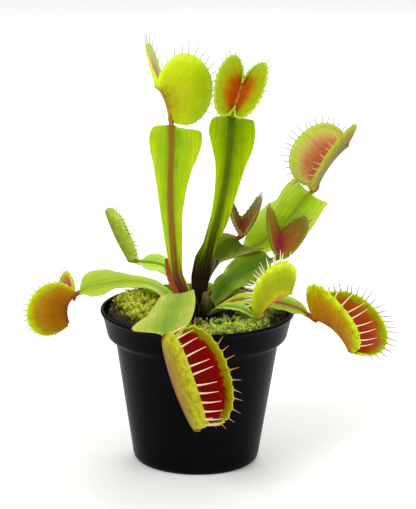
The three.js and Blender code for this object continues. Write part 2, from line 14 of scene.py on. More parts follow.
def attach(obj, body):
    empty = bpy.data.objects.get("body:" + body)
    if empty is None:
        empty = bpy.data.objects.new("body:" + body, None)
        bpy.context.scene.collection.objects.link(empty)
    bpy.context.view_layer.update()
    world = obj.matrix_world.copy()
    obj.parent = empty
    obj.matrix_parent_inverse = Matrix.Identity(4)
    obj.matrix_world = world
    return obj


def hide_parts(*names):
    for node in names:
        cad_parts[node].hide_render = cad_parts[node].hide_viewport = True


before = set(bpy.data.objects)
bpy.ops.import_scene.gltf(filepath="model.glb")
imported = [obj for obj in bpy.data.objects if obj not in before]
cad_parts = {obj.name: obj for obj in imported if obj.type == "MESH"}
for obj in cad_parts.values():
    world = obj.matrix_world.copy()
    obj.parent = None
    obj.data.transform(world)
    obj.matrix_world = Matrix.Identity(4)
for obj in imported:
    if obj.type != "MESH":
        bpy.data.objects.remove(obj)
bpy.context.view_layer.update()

MM = 0.001
UP = Vector((0, 0, 1))

# ---------------------------------------------------------------- camera
TARGET = Vector((4.61, 23.72, 91.71)) * MM
DISTANCE = 1.3
ELEVATION = math.radians(14.5)
ROLL = math.radians(0.7)
SENSOR_HEIGHT, LENS = 36, 195.4

camera_data = bpy.data.cameras.new("camera")
camera_data.lens = LENS
camera_data.sensor_fit = "VERTICAL"
camera_data.sensor_height = SENSOR_HEIGHT
camera = bpy.data.objects.new("camera", camera_data)
bpy.context.scene.collection.objects.link(camera)
away = Vector((0, -math.cos(ELEVATION), math.sin(ELEVATION)))
look = (-away).to_track_quat("-Z", "Y").to_matrix().to_4x4()
camera.matrix_world = Matrix.Translation(TARGET + away * DISTANCE) @ look @ Matrix.Rotation(ROLL, 4, "Z")
bpy.context.scene.camera = camera
# the default view transform can't reach the photo's yellow greens and reds
bpy.context.scene.view_settings.view_transform = "Standard"


# ---------------------------------------------------------------- finishes
def colour(code):
    """An sRGB hex value as linear RGBA."""
    parts = [int(code[i : i + 2], 16) / 255 for i in (1, 3, 5)]
    return [c / 12.92 if c <= 0.04045 else ((c + 0.055) / 1.055) ** 2.4 for c in parts] + [1.0]


def node(tree, kind, inputs=(), stops=(), out=0, **settings):
    """Adds a node with its settings, its inputs as values or links, by name or in order, and the stops of a
    ramp. Gives one of its outputs."""
    made = tree.nodes.new(f"ShaderNode{kind}")
    for name, value in settings.items():
        setattr(made, name, value)
    for key, value in inputs.items() if isinstance(inputs, dict) else enumerate(inputs):
        if isinstance(value, bpy.types.NodeSocket):
            tree.links.new(value, made.inputs[key])
        else:
            made.inputs[key].default_value = value
    if stops:
        bar = made.color_ramp
        while len(bar.elements) < len(stops):
            bar.elements.new(0.5)
        for element, (position, code) in zip(bar.elements, stops):
            element.position = position
            element.color = colour(code)
    return made.outputs[out]


FACTOR, FIRST, SECOND = 0, 6, 7  # inputs of a Mix node that is set to colours
COLOURS = dict(data_type="RGBA", out=2)  # sets a Mix node to colours, and its output
MULTIPLIED = dict(blend_type="MULTIPLY", **COLOURS)


def finish(name, roughness, ior=1.45, **sockets):
    """A new material with one Principled shader, and its tree. Sockets have _ for each space."""
    material = bpy.data.materials.new(name)
    material.use_nodes = True
    shader = material.node_tree.nodes["Principled BSDF"]
    for key, value in dict(Roughness=roughness, IOR=ior, **sockets).items():
        shader.inputs[key.replace("_", " ")].default_value = value
    return material, material.node_tree


def wired(material, **sockets):
    """The material, once its shader's sockets are linked."""
    tree = material.node_tree
    for key, value in sockets.items():
        tree.links.new(value, tree.nodes["Principled BSDF"].inputs[key.replace("_", " ")])
    return material


def growth_of(tree):
    """The three numbers that each leaf, trap and hair carries for its patterns."""
    growth = node(tree, "Attribute", attribute_name="growth", out="Vector")
    return node(tree, "SeparateXYZ", [growth]).node.outputs


def blade_skin(name, look):
    """Waxy leaf skin: a soft shine, a coloured midrib, fine veins along the blade and a tinted foot.

    growth holds the share of the length, the distance from the midrib in mm, and the share of the width.
    """
    look = dict(shine=0.15, mottle=0.5, rib_strength=0.95) | look
    material, tree = finish(name, 0.34, Subsurface_Weight=0.08, Subsurface_Scale=0.0015,
                            Specular_IOR_Level=look["shine"])
    along, off_rib, across = growth_of(tree)
    place = node(tree, "TexCoord", out="Object")
    blotch = node(tree, "TexNoise", {"Vector": place, "Scale": 150.0, "Detail": 5.0, "Roughness": 0.6})
    # streaks about 1 mm wide that run a quarter of the blade's length
    slow = node(tree, "Math", (along, 4.0), operation="MULTIPLY")
    streaks = node(tree, "TexNoise", {"Vector": node(tree, "CombineXYZ", (off_rib, slow)), "Scale": 1.1,
                                      "Detail": 3.0, "Distortion": 0.4})
    uneven = node(tree, "Math", (blotch, look["mottle"], across), operation="MULTIPLY_ADD")
    streaked = node(tree, "Math", (streaks, 0.2, uneven), operation="MULTIPLY_ADD")
    centred = node(tree, "Math", (streaked, 0.1 + look["mottle"] / 2), operation="SUBTRACT")
    body = node(tree, "ValToRGB", [centred],
                [(0.0, look["middle"]), (0.35, look["blade"]), (0.9, look["edge"])])
    distance = node(tree, "Math", [off_rib], operation="ABSOLUTE")
    ragged = node(tree, "Math", (streaks, 0.3, along), operation="MULTIPLY_ADD")
    wide, reach = look["rib_width"], look["foot_reach"]
    for value, near, far, strength, tint in (
        (distance, wide * 0.45, wide * 1.15, look["rib_strength"], look["rib"]),
        (ragged, reach * 0.35 + 0.15, reach + 0.15, 1.0, look["foot"]),
    ):
        cover = node(tree, "MapRange", (value, near, far, strength, 0.0), interpolation_type="SMOOTHSTEP")
        body = node(tree, "Mix", {FACTOR: cover, FIRST: body, SECOND: colour(tint)}, **COLOURS)
    shade = node(tree, "MapRange", (streaks, 0.3, 0.7, 0.87, 1.08))
    body = node(tree, "Mix", {FACTOR: 1.0, FIRST: body, SECOND: shade}, **MULTIPLIED)
    # veins 0.5 mm apart, drawn 0.9 mm apart
    veins = node(tree, "TexWave", {"Vector": node(tree, "CombineXYZ", (off_rib, along)), "Scale": 0.35,
                                   "Distortion": 3.0, "Detail": 2.0, "Detail Scale": 2.0},
                 bands_direction="X", out="Fac")
    raised = node(tree, "Math", (veins, 0.4, streaks), operation="MULTIPLY_ADD")
    relief = node(tree, "Bump", {"Height": raised, "Strength": 0.4, "Distance": 0.0004})
    return wired(material, Base_Color=body, Normal=relief)


def lobe_skin(name, stops, roughness, look, speck, glands, freckles, patch):
    """Skin of a trap's lobe: colours from the hinge to the margin, with fine streaks, glands and freckles.

    growth holds the share from base to tip, the share from hinge to margin, and which lobe it is. glands and
    freckles say how strongly they show, and patch how far the colours stray along the lobe.
    """
    material, tree = finish(name, roughness, Subsurface_Weight=0.08, Subsurface_Scale=0.0015,
                            Specular_IOR_Level=0.13)
    share, rise, _ = growth_of(tree)
    place = node(tree, "TexCoord", out="Object")
    blotch = node(tree, "TexNoise", {"Vector": place, "Scale": 320.0, "Detail": 5.0, "Roughness": 0.6})
    # streaks from hinge to margin, 34 along the lobe and so about 0.7 mm apart
    wide = node(tree, "Math", (share, 34.0), operation="MULTIPLY")
    streaks = node(tree, "TexNoise", {"Vector": node(tree, "CombineXYZ", (wide, rise)), "Scale": 1.0,
                                      "Detail": 3.0})
    shift = node(tree, "MapRange", (blotch, 0.2, 0.8, -patch, patch))
    body = node(tree, "ValToRGB", [node(tree, "Math", (rise, shift), operation="ADD")], stops)
    streak = look["streak"]
    shade = node(tree, "MapRange", (streaks, 0.3, 0.7, 1 - 0.13 * streak, 1 + 0.08 * streak))
    body = node(tree, "Mix", {FACTOR: 1.0, FIRST: body, SECOND: shade}, **MULTIPLIED)
    # glands stand 0.2 mm apart, drawn 0.9 mm apart so that they show, and freckles about 4 mm apart
    for scale, near, far, strength in ((1100.0, 0.15, 0.45, glands), (260.0, 0.05, 0.15, freckles)):
        dots = node(tree, "TexVoronoi", {"Vector": place, "Scale": scale}, out="Distance")
        cover = node(tree, "MapRange", (dots, near, far, strength, 0.0))
        body = node(tree, "Mix", {FACTOR: cover, FIRST: body, SECOND: colour(speck)}, **COLOURS)
    raised = node(tree, "Math", (blotch, 1.5, streaks), operation="MULTIPLY_ADD")
    relief = node(tree, "Bump", {"Height": raised, "Strength": 0.45, "Distance": 0.0006})
    return wired(material, Base_Color=body, Normal=relief)


def hair_skin(name, tints):
    """Stiff waxy hair that pales or darkens from its root to its tip, in a tint of its own on each lobe.

    growth holds nothing, the share of the hair's length, and which lobe it grows on.
    """
    material, tree = finish(name, 0.35, Subsurface_Weight=0.08, Subsurface_Scale=0.001)
    _, rise, lobe = growth_of(tree)
    one, other = [node(tree, "ValToRGB", [rise], [(0.05, root), (0.5, tip)]) for root, tip in tints]
    body = node(tree, "Mix", {FACTOR: lobe, FIRST: one, SECOND: other}, **COLOURS)
    return wired(material, Base_Color=body)


def pot_plastic():
    """Injection-moulded black polypropylene: half dull, with a faint dusty bloom and fine mould grain."""
    material, tree = finish("moulded black polypropylene", 0.3, 1.49, Specular_IOR_Level=0.03)
    place = node(tree, "TexCoord", out="Object")
    dust = node(tree, "TexNoise", {"Vector": place, "Scale": 40.0, "Detail": 6.0, "Roughness": 0.65})
    body = node(tree, "ValToRGB", [dust], [(0.35, "#050508"), (0.6, "#08080C"), (0.8, "#101015")])
    sheen = node(tree, "MapRange", (dust, 0.3, 0.7, 0.26, 0.4))
    # mould grain 0.5 mm across
    grain = node(tree, "TexNoise", {"Vector": place, "Scale": 2000.0, "Detail": 2.0})
    relief = node(tree, "Bump", {"Height": grain, "Strength": 0.12, "Distance": 0.0001})
    return wired(material, Base_Color=body, Roughness=sheen, Normal=relief)


def ground_finish(name, stops, grain_size, depth):
    """Crumbly matte ground: colours by a fine noise, and relief of the same grain, both sizes in mm."""
    material, tree = finish(name, 0.95)
    place = node(tree, "TexCoord", out="Object")
    grain = node(tree, "TexNoise", {"Vector": place, "Scale": 1000 / grain_size, "Detail": 6.0,
                                    "Roughness": 0.7})
    relief = node(tree, "Bump", {"Height": grain, "Strength": 0.9, "Distance": depth * MM})
    return wired(material, Base_Color=node(tree, "ValToRGB", [grain], stops), Normal=relief)


def moss_finish(name, bed):
    """Feathery moss shoots: each has a tint of its own between old and young, and is darkened towards its
    root as painted shade down in the bed.

    growth holds the shoot's own tint, and the share of its height.
    """
    material, tree = finish(name, 0.75, Subsurface_Weight=0.1, Subsurface_Scale=0.001)
    tint, rise, _ = growth_of(tree)
    body = node(tree, "ValToRGB", [tint], [(0.15, bed["deep"]), (0.4, bed["old"]), (0.8, bed["young"])])
    # painted shade: each shoot fades to the deep colour towards its root, for the shade between the shoots
    shade = node(tree, "MapRange", (rise, 0.05, 0.8, 0.9, 0.0))
    rooted = node(tree, "Mix", {FACTOR: shade, FIRST: body, SECOND: colour(bed["deep"])}, **COLOURS)
    return wired(material, Base_Color=rooted)


def dying_skin(name, stops, roughness=0.5):
    """Leaf skin that is blotchy and slightly wrinkled, with a colour that changes along the leaf."""
    material, tree = finish(name, roughness)
    place = node(tree, "TexCoord", out="Object")
    blotch = node(tree, "TexNoise", {"Vector": place, "Scale": 400.0, "Detail": 4.0})
    shift = node(tree, "MapRange", {"Value": blotch, "To Min": -0.25, "To Max": 0.25})
    ragged = node(tree, "Math", (growth_of(tree)[0], shift), operation="ADD")
    relief = node(tree, "Bump", {"Height": blotch, "Strength": 0.5, "Distance": 0.0005})
    return wired(material, Base_Color=node(tree, "ValToRGB", [ragged], stops), Normal=relief)


# ---------------------------------------------------------------- points and meshes
def mix(a, b, share):
    return a + (b - a) * share


def smooth(x, low, high):
    t = min(1.0, max(0.0, (x - low) / (high - low)))
    return t * t * (3 - 2 * t)


def square_to(direction, axis):
    """The part of a direction that is square to an axis, at unit length."""
    return (direction - axis * direction.dot(axis)).normalized()


def run_through(points):
    """A smooth curve through points: gives the place and the direction at a share of its length."""
    p = [Vector(q) for q in points]
    p = [p[0] * 2 - p[1]] + p + [p[-1] * 2 - p[-2]]
    last = len(p) - 3

    def place(t):
        i = min(int(t * last), last - 1)
        w = t * last - i
        a, b, c, d = p[i : i + 4]
        ka, kb, kc = (max((m - n).length, 1e-4) ** 0.5 for m, n in ((a, b), (b, c), (c, d)))
        start = ((b - a) / ka - (c - a) / (ka + kb) + (c - b) / kb) * kb
        end = ((c - b) / kb - (d - b) / (kb + kc) + (d - c) / kc) * kb
        return (b + start * w + (b * -3 + c * 3 - start * 2 - end) * w**2
                + (b * 2 - c * 2 + start + end) * w**3)

    shares = [k / 200 for k in range(201)]
    marks = [place(share) for share in shares]
    lengths = [0.0]
    for a, b in zip(marks, marks[1:]):
        lengths.append(lengths[-1] + (b - a).length)

    def at(share):
        t = float(np.interp(share * lengths[-1], lengths, shares))
        step = 1e-3
        ahead, behind = place(min(1.0, t + step)), place(max(0.0, t - step))
        return place(t), (ahead - behind).normalized()

    return at


def between(table, u):
    """Smooth values of a table of [share, left, right] at a share, with no overshoot."""
    shares = [row[0] for row in table]
    i = max(k for k in range(len(shares) - 1) if shares[k] <= u or k == 0)
    step = shares[i + 1] - shares[i]
    t = min(1.0, max(0.0, (u - shares[i]) / step))
    h = (2 * t**3 - 3 * t**2 + 1, t**3 - 2 * t**2 + t, 3 * t**2 - 2 * t**3, t**3 - t**2)
    values = []
    for column in (1, 2):
        v = [row[column] for row in table]

        def slope(k):
            if k == 0 or k == len(v) - 1:
                return 0.0
            before = (v[k] - v[k - 1]) / (shares[k] - shares[k - 1])
            after = (v[k + 1] - v[k]) / (shares[k + 1] - shares[k])
            return 0.0 if before * after <= 0 else 2 * before * after / (before + after)

        values.append(h[0] * v[i] + h[1] * step * slope(i) + h[2] * v[i + 1] + h[3] * step * slope(i + 1))
    return values


def take(*pieces):
    """Selects these pieces and nothing else, with the first one active."""
    bpy.ops.object.select_all(action="DESELECT")
    for piece in pieces:
        piece.select_set(True)
    bpy.context.view_layer.objects.active = pieces[0]


def add(primitive, **settings):
    """A new primitive, with nothing else selected."""
    bpy.ops.object.select_all(action="DESELECT")
    getattr(bpy.ops.mesh, f"primitive_{primitive}_add")(**settings)
    return bpy.context.object


def join(pieces):
    take(*pieces)
    bpy.ops.object.join()
    return pieces[0]


def apply_all(piece):
    take(piece)
    for modifier in list(piece.modifiers):
        bpy.ops.object.modifier_apply(modifier=modifier.name)


def set_growth(mesh, values):
    growth = mesh.attributes.new("growth", "FLOAT_VECTOR", "POINT")
    growth.data.foreach_set("vector", np.asarray(values, np.float32).ravel())


def skin_sheet(name, rows, columns, place, thickness, skins):
    """A closed sheet: place(u, w) gives a point in mm, its growth, and its share of the thickness.

    A flat grid is shaped to the points, gets its thickness away from its face side, and is rounded.
    """
    piece = add("grid", x_subdivisions=columns, y_subdivisions=rows, size=2)
    piece.name = piece.data.name = name
    group = piece.vertex_groups.new(name="thickness")
    growths = []
    for vertex in piece.data.vertices:
        point, growth, share = place((vertex.co.y + 1) / 2, vertex.co.x)
        vertex.co = point * MM
        growths.append(growth)
        group.add([vertex.index], share, "REPLACE")
    set_growth(piece.data, growths)
    for material in skins:
        piece.data.materials.append(material)
    wall = piece.modifiers.new("wall", "SOLIDIFY")
    wall.thickness = thickness * MM
    wall.offset = -1
    wall.vertex_group = "thickness"
    wall.material_offset = wall.material_offset_rim = len(skins) - 1
    rounding = piece.modifiers.new("rounding", "SUBSURF")
    rounding.levels = rounding.render_levels = 1
    apply_all(piece)
    bpy.ops.object.shade_smooth()
    return piece


def build(name, points, faces, growths, material):
    """A mesh from lists of points in mm, shaded smooth."""
    mesh = bpy.data.meshes.new(name)
    mesh.from_pydata([Vector(p) * MM for p in points], [], faces)
    set_growth(mesh, growths)
    mesh.materials.append(material)
    mesh.shade_smooth()
    piece = bpy.data.objects.new(name, mesh)
    bpy.context.scene.collection.objects.link(piece)
    return piece


def tube(points, faces, growths, sides, rings, guide, at, growth_at):
    """Adds a closed tube to the lists: at(share) gives its middle, its direction and its radius."""
    start = len(points)
    for i in range(rings + 1):
        centre, along, radius = at(i / rings)
        across = square_to(guide, along)
        other = along.cross(across)
        for j in range(sides):
            turn = math.tau * j / sides
            points.append(centre + (across * math.cos(turn) + other * math.sin(turn)) * radius)
            growths.append(growth_at(i / rings, j / sides))
            if i:
                a, b = start + (i - 1) * sides + j, start + (i - 1) * sides + (j + 1) % sides
                faces.append((a, b, b + sides, a + sides))
    faces.append(tuple(start + j for j in reversed(range(sides))))
    faces.append(tuple(start + rings * sides + j for j in range(sides)))


def round_stem(name, spine, radii, sides, rings, material, growth_at):
    """A closed tapered stem along a smooth curve."""
    run = run_through(spine)
    marks = np.linspace(0, 1, len(radii))
    points, faces, growths = [], [], []
    tube(points, faces, growths, sides, rings, Vector((0.3, -0.8, 0.5)),
         lambda share: (*run(share), float(np.interp(share, marks, radii))), growth_at)
    return build(name, points, faces, growths, material)


def turned(name, rings, segments):
    """A solid turned from rings of (radius, height): a disc is extruded and resized from ring to ring."""
    radius, height = rings[0]
    piece = add("circle", vertices=segments, radius=radius * MM, fill_type="NGON",
                location=(0, 0, height * MM))
    piece.name = piece.data.name = name
    bpy.ops.object.transform_apply(location=True, rotation=False, scale=False)
    bpy.ops.object.mode_set(mode="EDIT")
    bpy.ops.mesh.select_all(action="SELECT")
    for next_radius, next_height in rings[1:]:
        bpy.ops.mesh.extrude_region_move(
            TRANSFORM_OT_translate={"value": (0, 0, (next_height - height) * MM)})
        grow = next_radius / radius
        bpy.ops.transform.resize(value=(grow, grow, 1))
        radius, height = next_radius, next_height
    bpy.ops.mesh.select_all(action="SELECT")
    bpy.ops.mesh.normals_make_consistent(inside=False)
    bpy.ops.object.mode_set(mode="OBJECT")
    return piece


def stamp(name, template, marks, material):
    """Copies of a small template, each at a mark of (place in mm, turn, size as a vector, tint)."""
    body = np.array([v.co for v in template.data.vertices])
    faces = [tuple(p.vertices) for p in template.data.polygons]
    height = np.clip(body[:, 2] / max(body[:, 2].max(), 1e-9), 0, 1)
    points, all_faces, growths = [], [], []
    for k, (place, turn, size, tint) in enumerate(marks):
        points.append((body * np.array(size)) @ np.array(turn.to_matrix()).T + np.array(place))
        all_faces += [tuple(k * len(body) + i for i in face) for face in faces]
        growths.append(np.column_stack([np.full(len(body), tint), height, np.zeros(len(body))]))
    return build(name, np.concatenate(points), all_faces, np.concatenate(growths), material)


def dress(piece, slot, *nodes):
    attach(piece, "root")
    if nodes:
        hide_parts(*nodes)


def scattered(draw, reach):
    """A place on a round bed, spread evenly over it."""
    radius, turn = reach * math.sqrt(draw.random()), draw.uniform(0, math.tau)
    return radius * math.cos(turn), radius * math.sin(turn)


def tumbled(draw):
    """A turn to any side."""
    return Quaternion([draw.gauss(0, 1) for _ in range(4)]).normalized()


def lying(draw, slope):
    """A turn to any side of something that lies nearly flat."""
    return Quaternion(UP, draw.uniform(0, 6.28)) @ Quaternion((0, 1, 0), draw.gauss(0, slope))


# ---------------------------------------------------------------- pot
POT_SEGMENTS = 128
SHARPEST_CURVE = 38  # degrees between faces that still shade as one
FLOOR_WALL = 1.2
POT_OUTSIDE = [(20, 0), (27.2, 0), (28.1, 0.5), (28.9, 1.5), (29.5, 3.6), (29.8, 6), (33.6, 30), (37.7, 56.4),
               (37.95, 57.2), (38.5, 57.8), (39.6, 58.4), (40.7, 58.9), (41.4, 59.6), (41.8, 60.6),
               (42.2, 62.4), (43.9, 69.5), (44.1, 69.9), (44.6, 70.2), (44.9, 70.6), (45.0, 71.0),
               (44.95, 71.5), (44.75, 71.85), (44.4, 72.0)]
POT_INSIDE = [(43.9, 72.0), (43.6, 71.8), (43.4, 71.0), (42.8, 69.6), (40.8, 60.6), (36.6, 57.6), (32.4, 30),
              (28.6, 6), (26.4, FLOOR_WALL), (12, FLOOR_WALL)]
DRAIN_HOLES, DRAIN_RADIUS, DRAIN_CIRCLE = 6, 2.6, 18

pot = turned("nursery_pot", POT_OUTSIDE + POT_INSIDE, POT_SEGMENTS)
for k in range(DRAIN_HOLES):
    turn = math.radians(360 / DRAIN_HOLES * k)
    across, aside = DRAIN_CIRCLE * MM * math.cos(turn), DRAIN_CIRCLE * MM * math.sin(turn)
    drill = add("cylinder", vertices=32, radius=DRAIN_RADIUS * MM, depth=5 * FLOOR_WALL * MM,
                location=(across, aside, FLOOR_WALL / 2 * MM))
    hole = pot.modifiers.new("drain hole", "BOOLEAN")
    hole.object = drill
    hole.operation = "DIFFERENCE"
    apply_all(pot)
    bpy.data.objects.remove(drill)
take(pot)
bpy.ops.object.shade_smooth_by_angle(angle=math.radians(SHARPEST_CURVE))
pot.data.materials.append(pot_plastic())
dress(pot, "pot_plastic", "pot")

# ---------------------------------------------------------------- peat
SOIL_LEVEL, SOIL_DOME, SOIL_LUMP, SOIL_DIP, SOIL_DIP_REACH = 68.5, 2.5, 0.7, 3.5, 9.0
RIM = 45.0
CROWN = Vector((0, -3, 67))
SOIL_EDGE = 41.2
BARE_ROUND_CROWN = 7  # no crumbs lie closer to the crown
CRUMBS, CRUMB_REACH = 1500, 41.0
FIBRES, FIBRE_REACH = 420, 40.5


def from_crown(x, y):
    return math.hypot(x - CROWN.x, y - CROWN.y)


def soil_height(x, y):
    out = math.hypot(x, y) / RIM
    lump = math.sin(x * 0.62 + 1) * math.cos(y * 0.55) + 0.6 * math.sin(x * 0.31 - y * 0.83)
    far = from_crown(x, y) / SOIL_DIP_REACH
    return (SOIL_LEVEL + SOIL_DOME * (1 - out * out) - SOIL_DIP * math.exp(-far * far)
            + SOIL_LUMP * lump * (1 - out**4))


PEAT = ground_finish("damp milled peat", [(0.3, "#150C07"), (0.5, "#2E1D12"), (0.66, "#4C331F"),
                                          (0.8, "#77553A")], 1.6, 0.8)
soil_rings = [(20, 1.9), (25.6, 1.9), (28.1, 6.4), (36.1, 58), (40.3, 61.0), (41.6, SOIL_LEVEL)]
soil_rings += [(SOIL_EDGE - 1.1 * k, SOIL_LEVEL) for k in range(37)]
soil = turned("peat", soil_rings, 180)
for vertex in soil.data.vertices:
    if vertex.co.z > (SOIL_LEVEL - 0.01) * MM:
        x, y = vertex.co.x / MM, vertex.co.y / MM
        lumps = 0.35 * noise.noise(Vector((x, y, 3.0)) * 0.9) + 0.25 * noise.noise(Vector((x, y, 9.0)) * 2.1)
        vertex.co.z = (soil_height(x, y) + lumps - 0.15) * MM
soil.data.shade_smooth()
soil.data.materials.append(PEAT)
dress(soil, "peat", "soil")

# crumbs and fibres of peat and pale grains of perlite, sunk by about half
draw = random.Random(5)
crumb = add("ico_sphere", subdivisions=1, radius=1)
marks = []
for _ in range(CRUMBS):
    x, y = scattered(draw, CRUMB_REACH)
    if from_crown(x, y) < BARE_ROUND_CROWN:
        continue
    size = draw.uniform(0.3, 0.95) * (1 if draw.random() < 0.9 else 1.35)
    spin = tumbled(draw)
    flat = size * draw.uniform(0.4, 0.9)
    marks.append(((x, y, soil_height(x, y) + 0.1), spin, (size, size * 0.7, flat), 0))
for _ in range(FIBRES):
    x, y = scattered(draw, FIBRE_REACH)
    spin = lying(draw, 0.3)
    place = (x, y, soil_height(x, y) + draw.uniform(0.2, 1.2))
    marks.append((place, spin, (draw.uniform(1.2, 2.6), 0.16, 0.14), 0))
crumbs = stamp("peat_crumbs", crumb, marks, PEAT)
crumbs.data.shade_flat()
dress(crumbs, "peat")
PERLITE = ground_finish("expanded perlite", [(0.3, "#B8AFA0"), (0.7, "#EFEBE2")], 0.6, 0.2)
PERLITE_GRAINS = ((6.5, -14), (8.2, -13.1), (9.4, -15.2), (4.4, -15.8), (12.6, -11.4), (16.2, 4.0), (-8, -15),
                  (-15.5, -6), (-31, -26), (24.5, -30), (33, -21), (-12.8, 3.2), (5, 14), (-3, 19), (14, 21))
marks = []
for x, y in PERLITE_GRAINS:
    size = draw.uniform(0.45, 0.9)
    marks.append(((x, y, soil_height(x, y) + 0.5), tumbled(draw), (size, size * 0.8, size * 0.7), 0))
dress(stamp("perlite", crumb, marks, PERLITE), "peat")


# ---------------------------------------------------------------- moss
LEAFLETS = 12


def moss_shoot():
    """One feathery shoot, 1 high: a slim stem with flat pointed leaflets that spiral up it."""
    parts = [add("cone", vertices=3, radius1=0.05, radius2=0, depth=1, location=(0, 0, 0.5))]
    for k in range(LEAFLETS):
        rise = 0.15 + 0.83 * k / (LEAFLETS - 1)
        reach = 0.42 * math.sin(math.pi * min(1, 0.25 + 0.75 * rise)) + 0.14
        leaflet = add("cone", vertices=3, radius1=0.085, radius2=0, depth=reach)
        lean = Quaternion(UP, 2.4 * k) @ Quaternion((0, 1, 0), math.radians(mix(75, 20, rise)))
        for vertex in leaflet.data.vertices:
            flat = Vector((vertex.co.x * 0.45, vertex.co.y, vertex.co.z + reach / 2))
            vertex.co = lean @ flat + UP * (rise - 0.12)
        parts.append(leaflet)
    take(*parts)
    bpy.ops.object.transform_apply(location=True, rotation=True, scale=True)
    return join(parts)


# bare: where the moss thins out to peat, as an angle in degrees and how far round that reaches
MOSS = {
    "moss_left": dict(angles=(128, 262), radii=(17, 41), height=4.4, shoots=1500, tall=(2.4, 4.6),
                      bare=(215, 70), slot="moss_golden", young="#ECF44C", old="#9AA01A", deep="#2A2406"),
    "moss_back": dict(angles=(38, 124), radii=(24, 41), height=3.4, shoots=700, tall=(2.2, 4.0),
                      bare=(60, 20), slot="moss_golden", young="#D8DC50", old="#8E881C", deep="#2A2408"),
    "moss_right": dict(angles=(-92, 34), radii=(16, 41), height=1.2, shoots=1500, tall=(1.8, 3.6),
                       bare=(10, 50), slot="moss_green", young="#DCF460", old="#A4B038", deep="#34360F"),
}
MOSS_EDGE = 1.4
RIM_SHOOTS = 38.5  # past this the shoots are short, to stay under the rim
LITTER = 900


def moss_place(bed, u, v):
    angle = math.radians(mix(*bed["angles"], u))
    inner = bed["radii"][0] + 2.5 * math.sin(9 * angle) + 1.5 * math.sin(17 * angle)
    radius = mix(inner, bed["radii"][1], v)
    x, y = radius * math.cos(angle), radius * math.sin(angle)
    edge = min(1, 6 * min(u, 1 - u)) * smooth(v, -0.15, 0.55) * (1 - 0.55 * smooth(v, 0.75, 1))
    tuft = 1.3 * noise.noise(Vector((x, y, 1.0)) * 0.3) + 0.6 * noise.noise(Vector((x, y, 7.0)) * 0.8)
    return Vector((x, y, soil_height(x, y) + MOSS_EDGE * 0.4 + (bed["height"] + tuft - 1.0) * edge))


def moss_cover(bed, place):
    """How thickly the shoots stand at a place, from 0 to 1."""
    turn = math.degrees(math.atan2(place.y, place.x)) % 360 - bed["bare"][0] % 360
    turn = abs((turn + 180) % 360 - 180)
    near_bare = 1 - smooth(turn, bed["bare"][1] * 0.5, bed["bare"][1])
    thin = smooth(math.hypot(place.x, place.y), 33, 41) * near_bare
    patch = 0.5 + 1.4 * noise.noise(Vector((place.x, place.y, 4.0)) * 0.22)
    return min(1, max(0.08, 0.7 + patch * 0.5 - thin))


shoot_template = moss_shoot()
for order, (name, bed) in enumerate(MOSS.items()):
    side = name.removeprefix("moss_")
    felt = ground_finish(f"moss litter {side}", [(0.35, "#150E07"), (0.6, bed["deep"]), (0.85, bed["old"])],
                         1.4, 0.8)
    cushion = skin_sheet(f"{name}_cushion", 24, 56,
                         lambda u, w: (moss_place(bed, (1 - w) / 2, u), (0, 1, 0), 1.0), 1.6, [felt])
    dress(cushion, bed["slot"], name)
    draw = random.Random(20 + order)
    marks, litter = [], []
    while len(marks) < bed["shoots"]:
        u, v = draw.random(), math.sqrt(draw.uniform(0.02, 1))
        place = moss_place(bed, u, v)
        cover = moss_cover(bed, place)
        if draw.random() > cover:
            continue
        tilt = Vector((draw.gauss(0, 0.7), draw.gauss(0, 0.7), 1)).normalized()
        spin = UP.rotation_difference(tilt) @ Quaternion(UP, draw.uniform(0, 6.28))
        tall = draw.uniform(*bed["tall"]) * mix(0.6, 1, cover)
        if math.hypot(place.x, place.y) > RIM_SHOOTS:
            tall *= 0.55
        tint = min(1, max(0, cover * 0.75 + draw.gauss(0, 0.2)))
        marks.append((place - tilt * 0.6, spin, (tall, tall, tall), tint))
    for _ in range(LITTER):
        place = moss_place(bed, draw.random(), math.sqrt(draw.random()))
        if draw.random() > moss_cover(bed, place) - 0.1:
            size = draw.uniform(0.3, 0.8)
            spin = lying(draw, 0.4)
            slim = draw.choice((0.7, 0.7, 0.2))
            litter.append((place, spin, (size / slim, size * slim, size * slim), 0))
    dress(stamp(f"{name}_litter", crumb, litter, PEAT), "peat")
    shoots = stamp(f"{name}_shoots", shoot_template, marks, moss_finish(f"moss shoots {side}", bed))
    shoots.data.shade_flat()
    dress(shoots, bed["slot"])
for template in (shoot_template, crumb):
    bpy.data.objects.remove(template)

# ---------------------------------------------------------------- leaves: sizes
GAP = 0.35
MIDRIB, BLADE_MIDDLE, BLADE_EDGE = 1.9, 1.1, 0.7
LOBE, LOBE_RIB, LOBE_END = 1.0, 2.0, 0.04
NECK = (1, 1.1, 1.1)  # each blade ends in the neck that carries its trap

